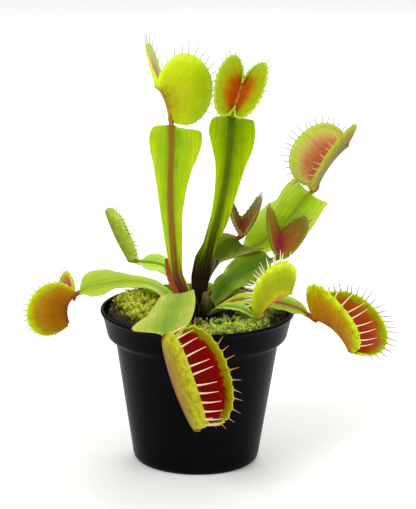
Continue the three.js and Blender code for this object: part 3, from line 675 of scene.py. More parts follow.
# The spine runs from the crown to the neck, and stalk is how far the trap stands off it. face: where the
# upper side looks, at the foot and at the neck. half: how far the blade reaches left and right at a share
# of the length. fold, wave, lead: how far it is folded up, ripples and runs on at its margin. base, tip,
# tops: the ends of the trap's hinge and the tops of its two lobes. bow bends the hinge, heart sets how
# round a lobe is, flare widens it and bulge swells it.
PLAIN_LEAF = dict(wave=0, waves=3, lead=0)
LEAVES = {
    "tall_left": dict(
        stalk=1, fold=0.12, wave=0.5, face=((0.3, 1, 0.2), (0.1, 1, 0)),
        spine=[(-1.5, -1, 72), (-6.5, 2, 80), (-9.5, 4, 87), (-12, 6, 107), (-13, 7, 131), (-12.5, 7, 148)],
        half=[(0, 1.9, 1.9), (0.12, 2.3, 2.2), (0.3, 3.6, 3.4), (0.48, 5, 4.8), (0.63, 6.8, 6.2),
              (0.76, 9.6, 8.2), (0.86, 12.8, 10.4), (0.92, 13.8, 10.8), (0.95, 13.4, 10.2),
              (0.963, 11.5, 9.9), (0.972, 4, 9.5), (0.986, 1.8, 8.8), (0.996, 1.3, 7), NECK],
        base=(-12.5, 5.5, 159.5), tip=(-19, -2, 177), tops=((4.3, 9, 181.3), (-19.6, 15.2, 185.8)),
        bow=-2.5, heart=0.47, flare=((7.5, 8.5), (-1, 9.5)), bulge=(2, 1)),
    "tall_right": dict(
        stalk=1, fold=0.15, wave=0.5, face=((0, -1, 0.1), (0.05, -1, 0.1)),
        spine=[(1, -7.5, 70), (1.2, -9, 80.5), (3.5, -7, 92.5), (6, -4, 103.5), (9, -2, 115.5),
               (12.5, 1, 133.5), (14, 2, 148.5)],
        half=[(0, 2, 2), (0.1, 3, 2.9), (0.2, 5.8, 2.8), (0.28, 6, 2.8), (0.38, 3.6, 3), (0.5, 3.6, 4.8),
              (0.64, 4.3, 6.1), (0.76, 5.8, 7.8), (0.87, 8.8, 10.8), (0.935, 10.4, 11.2), (0.97, 9.8, 10.6),
              (0.99, 9, 10), (0.997, 7.6, 8), NECK],
        base=(15, 1.5, 164), tip=(20, 8, 179), tops=((8, -6, 182.5), (29.3, -3, 177.9)),
        bow=1, heart=0.5, flare=((4.4, 6), (4, 5.5)), bulge=(1.5, 1.5)),
    "back_right": dict(
        stalk=2, fold=0.12, wave=1.4, waves=3.5, lead=4.5, face=((-0.3, -0.6, 0.6), (-0.3, -0.8, 0.5)),
        spine=[(4.1, 1.1, 71), (10, 9.8, 79), (19, 25, 88), (30, 36, 95), (40, 41, 102), (48, 42, 112),
               (53, 42, 118)],
        half=[(0, 1.8, 1.8), (0.2, 2.4, 2.4), (0.36, 3, 3), (0.44, 3.4, 4), (0.52, 7, 6), (0.6, 12, 9),
              (0.68, 14, 12), (0.78, 12, 12.5), (0.86, 11, 12.5), (0.925, 11, 12), (0.965, 7, 11.5),
              (0.985, 3, 8), NECK],
        base=(54.5, 42, 119.7), tip=(69, 44, 140.8), tops=((45.4, 46, 142), (58.2, 28, 138)),
        bow=-2.2, heart=0.42, flare=((1, 4), (1.5, 10)), bulge=(2.5, 1)),
    "mid_right": dict(
        stalk=2, fold=0.15, wave=1, face=((-0.1, -0.35, 0.9), (-0.1, -0.35, 0.9)),
        spine=[(5.5, -1.8, 71.5), (11.5, 5.5, 82), (22, 11, 88), (31, 12, 91.5)],
        half=[(0, 1.9, 1.9), (0.2, 3, 5.5), (0.4, 4.6, 10.5), (0.6, 6.6, 13.5), (0.76, 9.5, 13.5),
              (0.86, 10, 12), (0.93, 7, 8), (0.965, 2, 2), NECK],
        base=(37.5, 12.5, 94), tip=(38.5, 25, 102), tops=((32.5, 17, 114), (51, 16.5, 109.5)),
        bow=1, heart=0.4, flare=((2, 2), (4, 2)), bulge=(1.5, 2)),
    "behind": dict(
        stalk=2, fold=0.2, wave=0.6, lead=4, face=((-0.2, -0.75, 0.6), (-0.2, -0.75, 0.6)),
        spine=[(0.7, 3.4, 71.5), (3, 12, 82), (9, 20, 91.5), (17, 25.5, 98.5)],
        half=[(0, 1.9, 1.9), (0.25, 2.4, 2.2), (0.45, 4, 2.3), (0.6, 6.5, 2.8), (0.66, 7.4, 5),
              (0.71, 8, 8.5), (0.79, 8, 12.5), (0.87, 7, 14.5), (0.93, 4.8, 13.8), (0.965, 2.2, 12),
              (0.98, 1.5, 7.5), (0.99, 1.2, 3), NECK],
        base=(20.5, 26.5, 101), tip=(20.5, 37, 104.5), tops=((14.5, 32, 114.5), (29, 32, 117.5)),
        bow=1, heart=0.4, flare=((1.5, 1.5), (3.5, 1.5)), bulge=(1.2, 1.5)),
    "front_right": dict(
        stalk=1.5, fold=0.25, wave=0.4, face=((0, -0.1, 1), (0, -0.1, 1)),
        spine=[(4.2, -8.2, 71.5), (11.6, -14.2, 76.8), (19.5, -19, 77.6)],
        half=[(0, 1.7, 1.7), (0.22, 2.2, 2.2), (0.42, 3.8, 3.8), (0.6, 4.5, 4.5), (0.8, 3.8, 3.8),
              (0.9, 2.2, 2.2), NECK],
        base=(27, -22, 75), tip=(42, -20, 86), tops=((32.5, -26, 98.7), (33.5, -17, 97.2)),
        bow=-1.5, heart=0.4, flare=((1.5, 3.5), (1.5, 3.5)), bulge=(2, 2)),
    "far_right": dict(
        stalk=2.5, fold=0.2, wave=0.5, face=((0, -0.35, 0.95), (0, -0.35, 0.95)),
        spine=[(6, -4.9, 71.5), (17.5, -7.2, 78), (29.5, -9, 78.6), (41, -10, 77), (48, -10.3, 74.6)],
        half=[(0, 1.6, 1.6), (0.12, 1.8, 1.8), (0.25, 3.2, 3.2), (0.42, 4.4, 4.4), (0.6, 5.4, 5.4),
              (0.78, 6.2, 6.2), (0.89, 5, 5), (0.95, 2.4, 2.4), NECK],
        base=(53.5, -11.5, 72), tip=(71, -17.5, 57.5), tops=((60.8, -28, 87.7), (78.8, -9, 78.6)),
        bow=-3, heart=0.45, flare=((3.5, 5.8), (4, 9.5)), bulge=(1.5, 3)),
    "front": dict(
        stalk=2.5, fold=0.08, wave=0.9, waves=2.5, lead=2.2, face=((0, 0.75, 0.5), (-0.15, -0.75, 0.6)),
        spine=[(-4, -6.5, 71.5), (-6, -12, 81), (-8, -20, 84.5), (-10, -30, 82.5), (-12, -40, 77.5)],
        half=[(0, 2, 2), (0.2, 3.4, 3.4), (0.4, 7, 6.5), (0.56, 9.5, 8.5), (0.7, 10, 11.3),
              (0.81, 9.5, 14.5), (0.89, 7.5, 15.5), (0.93, 4.5, 14.5), (0.965, 1.6, 9.5), (0.985, 1.2, 3.5),
              NECK],
        base=(-14, -50, 71), tip=(1, -55, 30.5), tops=((-0.6, -70.4, 60.6), (14.4, -51, 60)),
        bow=2.5, heart=0.5, flare=((1.6, 0.2), (1.6, 1.4)), bulge=(3, 3)),
    "far_left": dict(
        stalk=1.8, fold=0.15, wave=0.8, face=((0.1, -0.4, 0.9), (0.1, -0.55, 0.8)),
        spine=[(-5, -4.5, 71), (-12, 0, 76.5), (-19, 7, 80), (-31.5, 13.5, 81), (-51.5, 17.6, 76.6)],
        half=[(0, 1.9, 1.9), (0.2, 3, 3), (0.4, 3.6, 3.4), (0.55, 4.2, 4.2), (0.68, 5.5, 6), (0.8, 7, 8),
              (0.88, 6.5, 9.2), (0.935, 4, 8), (0.97, 2, 3.4), NECK],
        base=(-58.6, 19, 72.8), tip=(-61.6, 17, 58.6), tops=((-80, 10, 68.2), (-66.5, 32, 74.5)),
        bow=-3, heart=0.45, flare=((5.4, 5.2), (3.6, 2.5)), bulge=(2, 2)),
    "upper_left": dict(
        stalk=3.8, fold=0.3, face=((0.2, -0.5, 0.8), (0.2, -0.7, 0.7)),
        spine=[(-3.3, 2.4, 71.5), (-7, 13, 80.5), (-17, 21, 87)],
        half=[(0, 1.6, 1.6), (0.3, 2.3, 1.8), (0.55, 4.6, 3.6), (0.76, 5.4, 4.8), (0.88, 4, 4),
              (0.95, 1.6, 1.6), NECK],
        base=(-31.5, 28, 87.8), tip=(-42.6, 33, 110), tops=((-33.2, 27.5, 101), (-33.2, 32.5, 100.5)),
        bow=1, heart=0.3, flare=((0.5, 0.5), (0.5, 0.5)), bulge=(0.8, 0.8)),
}

# ---------------------------------------------------------------- leaves: looks
# blades: colours from the midrib to the edge, of the rib and of the foot
BRIGHT = dict(middle="#7CA000", blade="#96B800", edge="#AECA00", rib="#6F8C04", rib_width=0.9, foot="#A8B860",
              foot_reach=0.12)
BLADE_LOOKS = {
    "tall_left": BRIGHT | dict(
        mottle=0.8, middle="#6A9800", blade="#90B400", edge="#B0CC00", rib="#8A5A10", rib_width=1.7,
        foot="#5E2410", foot_reach=0.34),
    "tall_right": BRIGHT | dict(
        mottle=0.8, middle="#587400", blade="#749200", edge="#98B400", rib="#465608", rib_width=2.0,
        rib_strength=0.75, foot="#1E1204", foot_reach=0.6, shine=0.04),
    "back_right": BRIGHT | dict(
        middle="#8CB800", blade="#B0DC10", edge="#D4F050", rib="#98A428", rib_width=1.2, foot_reach=0.2),
    "mid_right": dict(
        middle="#466800", blade="#5C8004", edge="#809A18", rib="#587C0A", rib_width=0.8, foot="#8A8A3C",
        foot_reach=0.2),
    "behind": dict(
        middle="#3E5408", blade="#52660C", edge="#98983C", rib="#465E10", rib_width=0.8, foot="#4A5A24",
        foot_reach=0.2, mottle=0.8, shine=0.05),
    "front_right": BRIGHT | dict(
        middle="#5E9010", blade="#84B01C", edge="#BCD248", rib="#5A7A10", rib_width=0.8, foot="#4E7A14"),
    "far_right": BRIGHT | dict(
        middle="#7E9C0C", blade="#92B814", edge="#B8D42C", rib="#A8501C", rib_width=1.3),
    "front": BRIGHT | dict(
        middle="#7C9A30", blade="#92AC34", edge="#B4BC50", rib="#8CA438", rib_strength=0.4, mottle=0.9),
    "far_left": BRIGHT | dict(
        middle="#8CAC20", blade="#9EBA28", edge="#B4C848", rib="#84A430", rib_strength=0.5),
    "upper_left": BRIGHT | dict(middle="#98C42C", blade="#A8D038", edge="#C0DC5C"),
}

# inner and outer: colours from hinge to margin. freckle, dots, streak: how strongly freckles, glands and
# streaks show. patch: how far the colours stray. scallop: how far the margin swells out between two cilia.
# tints: a hair's colours at its root and tip on each lobe. hairs: for each lobe their count, length and
# root radius in mm, how far they bend over the opening, and whether they stand along the lobe (1) or fan
# out (0).
PLAIN_TRAP = dict(streak=1.0, dots=0.15, patch=0.08, scallop=0.45)
TRAP_LOOKS = {
    "tall_left": dict(
        inner=[(0, "#C84030"), (0.35, "#D86850"), (0.6, "#D8A070"), (0.8, "#C8D068"), (1, "#B8D44C")],
        outer=[(0, "#9A7010"), (0.06, "#A6A208"), (0.3, "#BCC806"), (0.8, "#C2D608"), (1, "#D2EC3C")],
        speck="#968410", freckle=0.25, streak=0.5,
        tints=2 * (("#B8D838", "#8C8C70"),), hairs=((18, 6.4, 0.26, 0.2, 0.3), (14, 6.0, 0.26, 0.2, 0.3))),
    "tall_right": dict(
        inner=[(0, "#CC8C2A"), (0.04, "#B04800"), (0.26, "#B45400"), (0.42, "#B48004"), (0.58, "#A8AC10"),
               (0.85, "#A8C020"), (1, "#B0C82C")],
        outer=[(0, "#8A9010"), (0.5, "#A0B808"), (1, "#B0CC24")],
        speck="#8A2A08", freckle=0.2,
        tints=2 * (("#A8CC20", "#8C8460"),), hairs=2 * ((17, 4.6, 0.24, 0.15, 0.3),)),
    "back_right": dict(
        inner=[(0, "#B84C24"), (0.3, "#CC6438"), (0.5, "#D88858"), (0.64, "#E0B06C"), (0.74, "#DCD46C"),
               (0.84, "#D4E85C"), (1, "#D4E85C")],
        outer=[(0, "#8A7A18"), (0.2, "#746410"), (0.6, "#806E10"), (0.85, "#989014"), (1, "#B0BC20")],
        inner_speck="#C8B860", speck="#9A4028", freckle=0.4,
        tints=(("#A8B840", "#70625C"), ("#D0B860", "#E8D8B0")),
        hairs=((20, 6.2, 0.28, 0.1, 0.2), (15, 3.4, 0.26, 0.6, 0.6))),
    "mid_right": dict(
        inner=[(0, "#B02448"), (0.06, "#A83C48"), (0.2, "#A85834"), (0.5, "#A06C28"), (0.8, "#8C7418"),
               (1, "#90881C")],
        outer=[(0, "#A83C40"), (0.1, "#A05830"), (0.4, "#966C18"), (1, "#8A8414")],
        speck="#4A3020", freckle=0.3,
        tints=2 * (("#7C6A34", "#7A6A50"),), hairs=2 * ((18, 3.6, 0.3, 0.2, 0.5),)),
    "behind": dict(
        inner=[(0, "#9A2430"), (0.08, "#944830"), (0.4, "#92682C"), (1, "#968C34")],
        outer=[(0, "#8C3028"), (0.15, "#8E5624"), (0.6, "#947828"), (1, "#A09840")],
        speck="#3A2010", freckle=0.3,
        tints=2 * (("#6A5A30", "#5A4034"),), hairs=2 * ((17, 3.8, 0.3, 0.2, 0.4),)),
    "front_right": dict(
        inner=[(0, "#E0A060"), (0.4, "#D08850"), (0.8, "#C0C030"), (1, "#C8DC20")],
        outer=[(0, "#D08C58"), (0.1, "#C89048"), (0.17, "#C4BC10"), (0.3, "#A8AC06"), (0.6, "#98A404"),
               (0.82, "#A6B408"), (0.95, "#C8DC1C"), (1, "#D8EC40")],
        speck="#7A7808", freckle=0.3, scallop=0.9,
        tints=2 * (("#E0E478", "#F4EEC8"),), hairs=2 * ((13, 4.8, 0.5, 0.2, 0.2),)),
    "far_right": dict(
        inner=[(0, "#701C02"), (0.15, "#922400"), (0.6, "#A63600"), (0.78, "#AA5200"), (0.87, "#9C9000"),
               (1, "#A8C004")],
        outer=[(0, "#8A4A10"), (0.08, "#A86404"), (0.3, "#B47400"), (0.6, "#BC8400"), (0.8, "#BAA000"),
               (0.92, "#B8CC04"), (1, "#CCE418")],
        speck="#7A3000", freckle=0.8, dots=0.25, patch=0.24, scallop=0.9,
        tints=(("#E0D090", "#F8EAD8"), ("#A8A040", "#6C5464")),
        hairs=((15, 8.0, 0.42, 0.9, 0.35), (24, 5.6, 0.35, 0.1, 0.1))),
    "front": dict(
        inner=[(0, "#580000"), (0.3, "#780000"), (0.72, "#8C0000"), (0.82, "#8C1400"), (0.87, "#8C7C04"),
               (1, "#A4A408")],
        outer=[(0, "#824008"), (0.08, "#8C5808"), (0.35, "#946C00"), (0.6, "#988000"), (0.8, "#A09C00"),
               (1, "#BCC020")],
        inner_speck="#700000", speck="#743A00", freckle=0.8, dots=0.4, patch=0.34, scallop=1.3,
        tints=(("#E8B878", "#F8CCA8"), ("#B8A838", "#C88058")),
        hairs=((17, 7.4, 0.62, 1.15, 0.7), (18, 4.2, 0.38, 0.1, 0.3))),
    "far_left": dict(
        inner=[(0, "#A81028"), (0.55, "#C82838"), (0.75, "#C06038"), (0.9, "#A8B828"), (1, "#B8D038")],
        outer=[(0, "#8A5004"), (0.1, "#A06004"), (0.55, "#AE7000"), (0.78, "#A88404"), (0.92, "#B0BC00"),
               (1, "#C4DC18")],
        speck="#6A3004", freckle=0.4,
        tints=(("#B0B828", "#907060"), ("#B0B828", "#A06068")),
        hairs=((20, 3.0, 0.28, 0.2, 0.2), (18, 3.6, 0.26, 0.2, 0.2))),
    "upper_left": dict(
        inner=[(0, "#A8B040"), (1, "#B0B848")],
        outer=[(0, "#7A7418"), (0.2, "#889020"), (0.6, "#98A830"), (0.85, "#A8C03C"), (1, "#C4DC60")],
        speck="#4E5C10", freckle=0.6, dots=0.35, patch=0.2, scallop=0.9,
        tints=2 * (("#C4DC60", "#DCF09C"),), hairs=2 * ((15, 2.3, 0.52, 0.9, 0.3),)),
}


# ---------------------------------------------------------------- leaves: form
def trap_frame(leaf):
    """A leaf's sizes with the hinge and the lobes of its trap, as in the part's source."""
    foot, end = Vector(leaf["base"]), Vector(leaf["tip"])
    middle = (foot + end) / 2
    along = (end - foot).normalized()
    arms = [Vector(top) - middle for top in leaf["tops"]]
    across = [square_to(arm, along) for arm in arms]
    opening = square_to(across[0] + across[1], along)
    outwards = []
    for k, arm in enumerate(across):
        normal = along.cross(arm)
        outwards.append(-normal if normal.dot(across[1 - k]) > 0 else normal)
    # the sheet's face side looks into the opening, which sets on which half of it each lobe lies
    left_first = (arms[1] - arms[0]).cross(along).dot(opening) >= 0
    return leaf | dict(foot=foot, middle=middle, along=along, reach=(end - foot).length / 2, arms=arms,
                       opening=opening, outwards=outwards, left_first=left_first,
                       past=math.asin((leaf["heart"] - LOBE_END) / (1 - leaf["heart"])))


def lobe_at(leaf, w):
    """Which lobe a sheet's half from w = -1 to 0, or from 0 to 1, belongs to."""
    return 0 if (w < 0 if leaf["left_first"] else w > 0) else 1


def lobe_point(leaf, lobe, share, v):
    """Point of a lobe at a share from base to tip and a share from hinge to margin."""
    lift = math.sin(math.pi * share)
    hinge = leaf["middle"] - leaf["along"] * (math.cos(math.pi * share) * leaf["reach"])
    hinge = hinge - leaf["opening"] * (leaf["bow"] * lift * lift)
    turn = mix(-leaf["past"], math.pi + leaf["past"], share)
    reach = -math.cos(turn) * (leaf["reach"] + leaf["flare"][lobe][0 if share < 0.5 else 1])
    margin = (leaf["middle"] + leaf["along"] * reach
              + leaf["arms"][lobe] * (leaf["heart"] + (1 - leaf["heart"]) * math.sin(turn)))
    return hinge.lerp(margin, v) + leaf["outwards"][lobe] * (leaf["bulge"][lobe] * 4 * v * (1 - v) * lift)


def lobe_wall(v):
    return mix(LOBE_RIB, LOBE, min(1, v / 0.3))


def before_hinge(leaf, back):
    root = leaf["foot"] - leaf["opening"] * (LOBE_RIB / 2)
    return root + (Vector(leaf["spine"][-1]) - root).normalized() * back


def ripple(wave, waves, u, w):
    """How far a blade's rippled margin lifts, out of step on its two sides."""
    return wave * w * w * math.sin(2 * math.pi * waves * u + (1.3 if w < 0 else 0))


def blade(name, leaf, skin):
    """A folded leaf blade with a raised midrib and a rippled, slightly crinkled margin."""
    at = run_through([*leaf["spine"], before_hinge(leaf, leaf["stalk"] + GAP)])
    face = [Vector(v) for v in leaf["face"]]

    def place(t, w):
        u = 1 - (1 - t) ** 1.5  # rows close up towards the neck
        left, right = between(leaf["half"], u)
        centre, along = at(u)
        up = square_to(face[0].lerp(face[1], u), along)
        reach = w * (left if w < 0 else right)
        taper = min(1, max(left, right) / 6)
        crinkle = 0.22 * abs(w) ** 3 * (math.sin(47 * u + 3 * (w > 0)) + math.sin(23 * u + w))
        rise = leaf["fold"] * abs(reach) + (ripple(leaf["wave"], leaf["waves"], u, w) + crinkle) * taper
        point = centre + along.cross(up) * reach + along * (leaf["lead"] * (reach / 10) ** 2) + up * rise
        rib = (MIDRIB - BLADE_MIDDLE) * max(0, 1 - abs(reach) / 1.6)
        return point, (u, reach, abs(w)), (mix(BLADE_MIDDLE, BLADE_EDGE, abs(w)) + rib) / MIDRIB

    return skin_sheet(name, *BLADE_GRID, place, MIDRIB, [skin])


BLADE_GRID, TRAP_GRID = (54, 16), (84, 28)  # rows and columns
FIRST_HAIR, LAST_HAIR = 0.07, 0.93  # the stretch of the margin that carries cilia
MARGIN_LIP = 0.2
TRIGGER_HAIRS, TRIGGER_LENGTH, TRIGGER_RADIUS = ((0.38, 0.45), (0.62, 0.45), (0.5, 0.66)), 1.1, 0.09


def hair(lists, lobe, root, aim, curl, length, radius):
    """Adds one stiff hair: five-sided, thick at its root, curling towards curl."""
    tube(*lists, 5, 6, Vector((0.2, 0.5, 0.9)),
         lambda s: (root + (aim * s + curl * (0.5 * s * s)) * length, (aim + curl * s).normalized(),
                    radius * (1 - 0.82 * s**0.8)),
         lambda s, r: (0, s, lobe))


def trap_piece(name, leaf, looks, draw):
    """Two bowed lobes with a scalloped margin, their stalk, the cilia and three trigger hairs on each."""
    inner = lobe_skin(f"trap lining {name}", looks["inner"], 0.34, looks,
                      looks.get("inner_speck", looks["speck"]), 0.35, 0.0, 0.08)
    outer = lobe_skin(f"trap skin {name}", looks["outer"], 0.48, looks,
                      looks["speck"], looks["dots"], looks["freckle"], looks["patch"])

    def height(lobe, share):
        return (lobe_point(leaf, lobe, share, 1) - lobe_point(leaf, lobe, share, 0)).length

    steps = [k / 40 for k in range(41)]
    tallest = [max(height(lobe, step) for step in steps) for lobe in (0, 1)]
    # how far round the margin a share is, so that the cilia can stand evenly
    rounds = []
    for lobe in (0, 1):
        margin = [lobe_point(leaf, lobe, step, 1) for step in steps]
        run = np.cumsum([0] + [(b - a).length for a, b in zip(margin, margin[1:])])
        rounds.append(run / run[-1])
    hearts = [leaf["middle"] + arm * leaf["heart"] for arm in leaf["arms"]]

    def place(share, w):
        lobe = lobe_at(leaf, w)
        v = abs(w)
        v = v + 0.12 * math.sin(2 * math.pi * v) / math.pi  # rows close up towards hinge and margin
        point = lobe_point(leaf, lobe, share, v)
        rim = smooth(v, 0.82, 1)
        if rim:
            beat = (np.interp(share, steps, rounds[lobe]) - FIRST_HAIR) / (LAST_HAIR - FIRST_HAIR)
            swell = math.cos(2 * math.pi * (beat * looks["hairs"][lobe][0] - 0.5)) if 0 < beat < 1 else -1
            out = (point - hearts[lobe]).normalized()
            wobble = 0.3 * rim * (math.sin(15 * share + 2 * lobe) - 1)
            point = point + out * (looks["scallop"] * rim * 0.5 * (swell - 0.9))
            point = point + leaf["outwards"][lobe] * wobble
        # where the lobe is low, near its ends, the margin's colours reach further down
        low = 1 - min(1, height(lobe, share) / tallest[lobe])
        rise = v + min(1, 2.5 * v) * (1 - v) * low
        thick = lobe_wall(v) + MARGIN_LIP * smooth(v, 0.86, 0.95)
        return point, (share, rise, lobe), min(1, thick / LOBE_RIB)

    body = skin_sheet(f"trap_{name}", *TRAP_GRID, place, LOBE_RIB, [inner, outer])
    root = before_hinge(leaf, 0)
    spine = [before_hinge(leaf, leaf["stalk"] + GAP * 1.5), before_hinge(leaf, leaf["stalk"] * 0.5), root,
             root + leaf["along"] * 3]
    stalk = round_stem(f"stalk_{name}", spine, [1.15, 1.1, 1.05, 1.0, 0.5], 12, 12, outer,
                       lambda s, r: (0, 0, 0))
    lists = [], [], []
    for lobe, (count, length, radius, lean, straight) in enumerate(looks["hairs"]):
        upright = square_to(leaf["arms"][lobe], leaf["along"])
        inward = -leaf["outwards"][lobe]
        for k in range(count):
            about = mix(FIRST_HAIR, LAST_HAIR, (k + 0.5 + draw.uniform(-0.12, 0.12)) / count)
            share = float(np.interp(about, rounds[lobe], steps))
            margin = lobe_point(leaf, lobe, share, 1)
            out = (margin - hearts[lobe]).normalized()
            stray = Vector([draw.gauss(0, 0.07) for _ in range(3)])
            aim = (out.lerp(upright, straight) + inward * lean * 0.5 + stray).normalized()
            size = length * (0.55 + 0.45 * math.sin(math.pi * share)) * draw.uniform(0.85, 1.1)
            start = margin - out * 0.5 - inward * (LOBE * 0.4)
            hair(lists, lobe, start, aim, inward * lean * 0.8, size + 0.5, radius)
        for share, v in TRIGGER_HAIRS:
            hair(lists, lobe, lobe_point(leaf, lobe, share, v), inward, inward * 0, TRIGGER_LENGTH,
                 TRIGGER_RADIUS)
    return join([body, stalk, build(f"cilia_{name}", *lists, hair_skin(f"cilia {name}", looks["tints"]))])


BLADE_SLOTS = {"behind": "blade_dark", "mid_right": "blade_deep", "back_right": "blade_deep"}
TRAP_SLOTS = {"tall_left": "trap_green", "front_right": "trap_green", "upper_left": "trap_green",
              "mid_right": "trap_bronze", "behind": "trap_bronze"}
for order, (name, leaf) in enumerate(LEAVES.items()):
    leaf = trap_frame(PLAIN_LEAF | leaf)
    green = blade(f"blade_{name}", leaf, blade_skin(f"leaf skin {name}", BLADE_LOOKS[name]))
    dress(green, BLADE_SLOTS.get(name, "blade_bright"), f"leaf_{name}")
    jaws = trap_piece(name, leaf, PLAIN_TRAP | TRAP_LOOKS[name], random.Random(100 + order))
    dress(jaws, TRAP_SLOTS.get(name, "trap_orange"), f"trap_{name}")

# ---------------------------------------------------------------- crown
CORE_RADIUS, CORE_HEIGHT = 8, 7.5
YOUNG_BASES = OLD_BASES = 9


def leaf_base(name, turn, rows, thickness, skin, shape, *own):
    """A scale that stands on the crown: shape gives how far out, aside and up it goes, and its growth."""
    out, side = Vector((math.cos(turn), math.sin(turn), 0)), Vector((-math.sin(turn), math.cos(turn), 0))

    def place(u, w):
        far, aside, up, growth = shape(u, w, *own)
        return CROWN + out * far + side * aside + UP * up, growth, 1.0

    return skin_sheet(name, rows, 6, place, thickness, [skin])


def young_base(u, w):
    width = 3.1 * math.sin(math.pi * min(1, 0.32 + 0.68 * u)) * (1 - 0.35 * u)
    bend = math.radians(mix(18, 62, u))
    return (8.1 * math.cos(bend) - 0.25 * w * w, width * w, 7.7 * math.sin(bend) + 0.1,
            (u * 0.6, width * w, abs(w)))


def old_base(u, w, tall, lean):
    width = 2.3 * (1 - u) ** 0.6 + 0.25
    ruffle = 0.35 * math.sin(9 * u + 3 * w)
    return (8.0 + 1.2 * math.sin(2.2 * u) - 0.3 * w * w + ruffle * u, width * w + lean * u * u * 2,
            2.2 + tall * u, (u, width * w, abs(w)))


base_skin = blade_skin("leaf bases", BRIGHT | dict(middle="#7E8A3A", blade="#96A050", edge="#B8B878",
                                                   rib="#8A5A40", rib_width=0.8, foot="#8A4A40",
                                                   foot_reach=0.5))
old_skin = blade_skin("old leaf bases", dict(middle="#2A1A0C", blade="#3E2C12", edge="#5E5A1C", rib="#1C1008",
                                             rib_width=0.6, foot="#1A0E08", foot_reach=0.4))
crown_rings = [(7.5, 65.0)]
for degrees in (0, 15, 30, 45, 58, 70, 79, 85):
    bend = math.radians(degrees)
    crown_rings.append((CORE_RADIUS * math.cos(bend), CROWN.z + CORE_HEIGHT * math.sin(bend)))
crown = turned("crown_core", crown_rings, 48)
for vertex in crown.data.vertices:
    vertex.co += Vector((CROWN.x, CROWN.y, 0)) * MM
crown.data.shade_smooth()
set_growth(crown.data, [(0.3, 3, 0.5)] * len(crown.data.vertices))
crown.data.materials.append(base_skin)
parts = [crown]
for k in range(YOUNG_BASES):
    parts.append(leaf_base(f"base_{k}", math.tau * (k + 0.3) / YOUNG_BASES, 8, 0.5, base_skin, young_base))
draw = random.Random(7)
for k in range(OLD_BASES):
    turn = math.radians(-150 + 15 * k + draw.uniform(-4, 4))
    parts.append(leaf_base(f"old_base_{k}", turn, 10, 0.6, old_skin, old_base, draw.uniform(8, 13),
                           draw.uniform(-0.8, 0.6)))
dress(join(parts), "crown", "crown")


# ---------------------------------------------------------------- small growth
def rolled_leaf():
    """A young leaf still rolled in on itself: a soft skin, red on its back and foot, green in the roll."""
    material, tree = finish("young leaf skin", 0.45, Subsurface_Weight=0.05, Subsurface_Scale=0.002,
                            Specular_IOR_Level=0.1)
    along, _, around = growth_of(tree)
    body = node(tree, "ValToRGB", [around], [(0.1, "#984428"), (0.3, "#9C4C2C"), (0.44, "#84742C"),
                                             (1.0, "#7EA01C")])
    foot = node(tree, "MapRange", (along, 0.0, 0.35, 1.0, 0.0))
    footed = node(tree, "Mix", {FACTOR: foot, FIRST: body, SECOND: colour("#8A4028")}, **COLOURS)
    at = run_through([(-5.5, 0.6, 72), (-10.2, 6, 80), (-13, 9.5, 86), (-15, 11, 93)])
    radii = [1.1, 1.5, 2.1, 2.3, 1.9, 0.7]

    def place(u, w):
        centre, direction = at(u)
        front = square_to(Vector((0.35, -1, 0)), direction)
        radius = float(np.interp(u, np.linspace(0, 1, len(radii)), radii)) * (1 - 0.12 * abs(w))
        turn = w * math.radians(172)
        side = direction.cross(front)
        point = centre + front * (radius * math.cos(turn)) + side * (radius * math.sin(turn))
        return point, (u, 0, abs(w)), 1.0

    return skin_sheet("young_leaf", 24, 20, place, 0.6, [wired(material, Base_Color=footed)])


dress(rolled_leaf(), "young_leaf", "leaf_young")

SHOOT = dying_skin("shoot skin", [(0, "#262806"), (0.4, "#3A3E08"), (0.75, "#4C440C"), (0.95, "#6A3A10")])
shoot = round_stem("shoot", [(1.5, -10, 71.5), (3.5, -13, 76), (3.8, -13, 83.5)],
                   [1, 1.4, 1.8, 2.0, 1.9, 1.2], 14, 22, SHOOT, lambda s, r: (s, 0, r))
dress(shoot, "blade_bright", "shoot")

DRY = dying_skin("dry leaf", [(0, "#4A3018"), (0.4, "#8A683C"), (0.8, "#A8875A")], 0.8)
dry_at = run_through([(12, 3, 73.7), (18, 8, 75), (23, 13, 75), (28.5, 18, 74.8)])
DRY_HALF = [(0, 1.2, 1.2), (0.3, 3, 3.2), (0.6, 3.6, 3), (0.85, 2.4, 2), (1, 0.8, 0.8)]


def dry_place(u, w):
    left, right = between(DRY_HALF, u)
    centre, along = dry_at(u)
    up = square_to(Vector((0, -0.4, 1)).lerp(Vector((0.3, 0.2, 1)), u), along)
    reach = w * (left if w < 0 else right)
    crumple = 0.5 * noise.noise(centre * 0.5 + Vector((w * 2, 0, 0))) * abs(w)
    rise = 0.45 * abs(reach) + ripple(0.6, 3, u, w) * min(1, max(left, right) / 6) + crumple
    return centre + along.cross(up) * reach + up * rise, (u, reach, abs(w)), mix(1.0, 0.6, abs(w))


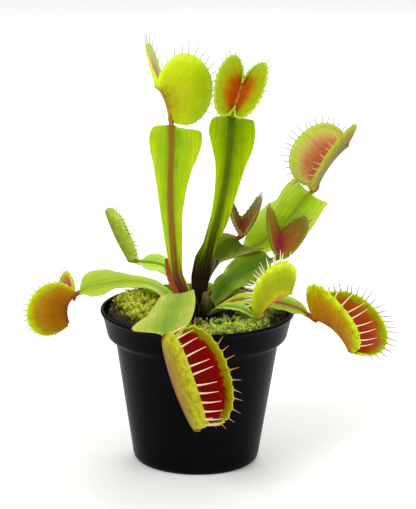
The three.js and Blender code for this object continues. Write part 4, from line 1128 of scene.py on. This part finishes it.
dress(skin_sheet("dry_leaf", 24, 10, dry_place, 1.1, [DRY]), "dry_leaf", "leaf_dry")

DEAD = dying_skin("dead leaf", [(0, "#241814"), (0.5, "#42302E"), (1.0, "#64504C")], 0.7)
dead = trap_frame(dict(base=(4.5, 8.5, 85), tip=(7.5, 9, 92), tops=((7.5, 6, 88.5), (9.5, 11.5, 90)),
                       bow=0.6, heart=0.3, flare=((0.4, 0.4), (0.4, 0.4)), bulge=(0.6, 0.6)))
jaws = skin_sheet("dead_trap", 14, 16,
                  lambda share, w: (lobe_point(dead, lobe_at(dead, w), share, abs(w)), (abs(w), 0, 0),
                                    lobe_wall(abs(w)) / LOBE_RIB), 1.6, [DEAD])
twig = round_stem("twig", [(1.8, 0, 74.4), (2.8, 4, 79), (4.6, 8.5, 84.6), (5.2, 8.6, 86.5)],
                  [0.6, 0.5, 0.5, 0.6, 0.5], 8, 16, DEAD, lambda s, r: (0, 0, 0))
dress(join([jaws, twig]), "dead_trap", "trap_dead")

# ---------------------------------------------------------------- floor and light
FLOOR_SIZE = 12  # metres

floor = add("plane", size=FLOOR_SIZE, location=(0, 0, 0))
floor.name = "floor"
floor.data.materials.append(finish("matte white paper floor", 0.9, Base_Color=colour("#FAFAF8"))[0])

world = bpy.data.worlds.new("studio")
world.use_nodes = True
sky = world.node_tree.nodes["Background"].inputs
sky["Color"].default_value = colour("#FFFFFF")
sky["Strength"].default_value = 0.65
bpy.context.scene.world = world


def softbox(name, place, size, power):
    """A square soft light that looks at the plant. place and size are in metres, and power in watts."""
    data = bpy.data.lights.new(name, "AREA")
    data.shape = "SQUARE"
    data.size = size
    data.energy = power
    lamp = bpy.data.objects.new(name, data)
    bpy.context.scene.collection.objects.link(lamp)
    toward = (TARGET - Vector(place)).to_track_quat("-Z", "Y").to_matrix().to_4x4()
    lamp.matrix_world = Matrix.Translation(place) @ toward


softbox("key", (-0.75, -0.85, 1.1), 0.7, 11)
softbox("fill", (1.0, -0.5, 0.6), 0.8, 5)
softbox("back", (0.2, 0.9, 1.0), 0.8, 7)
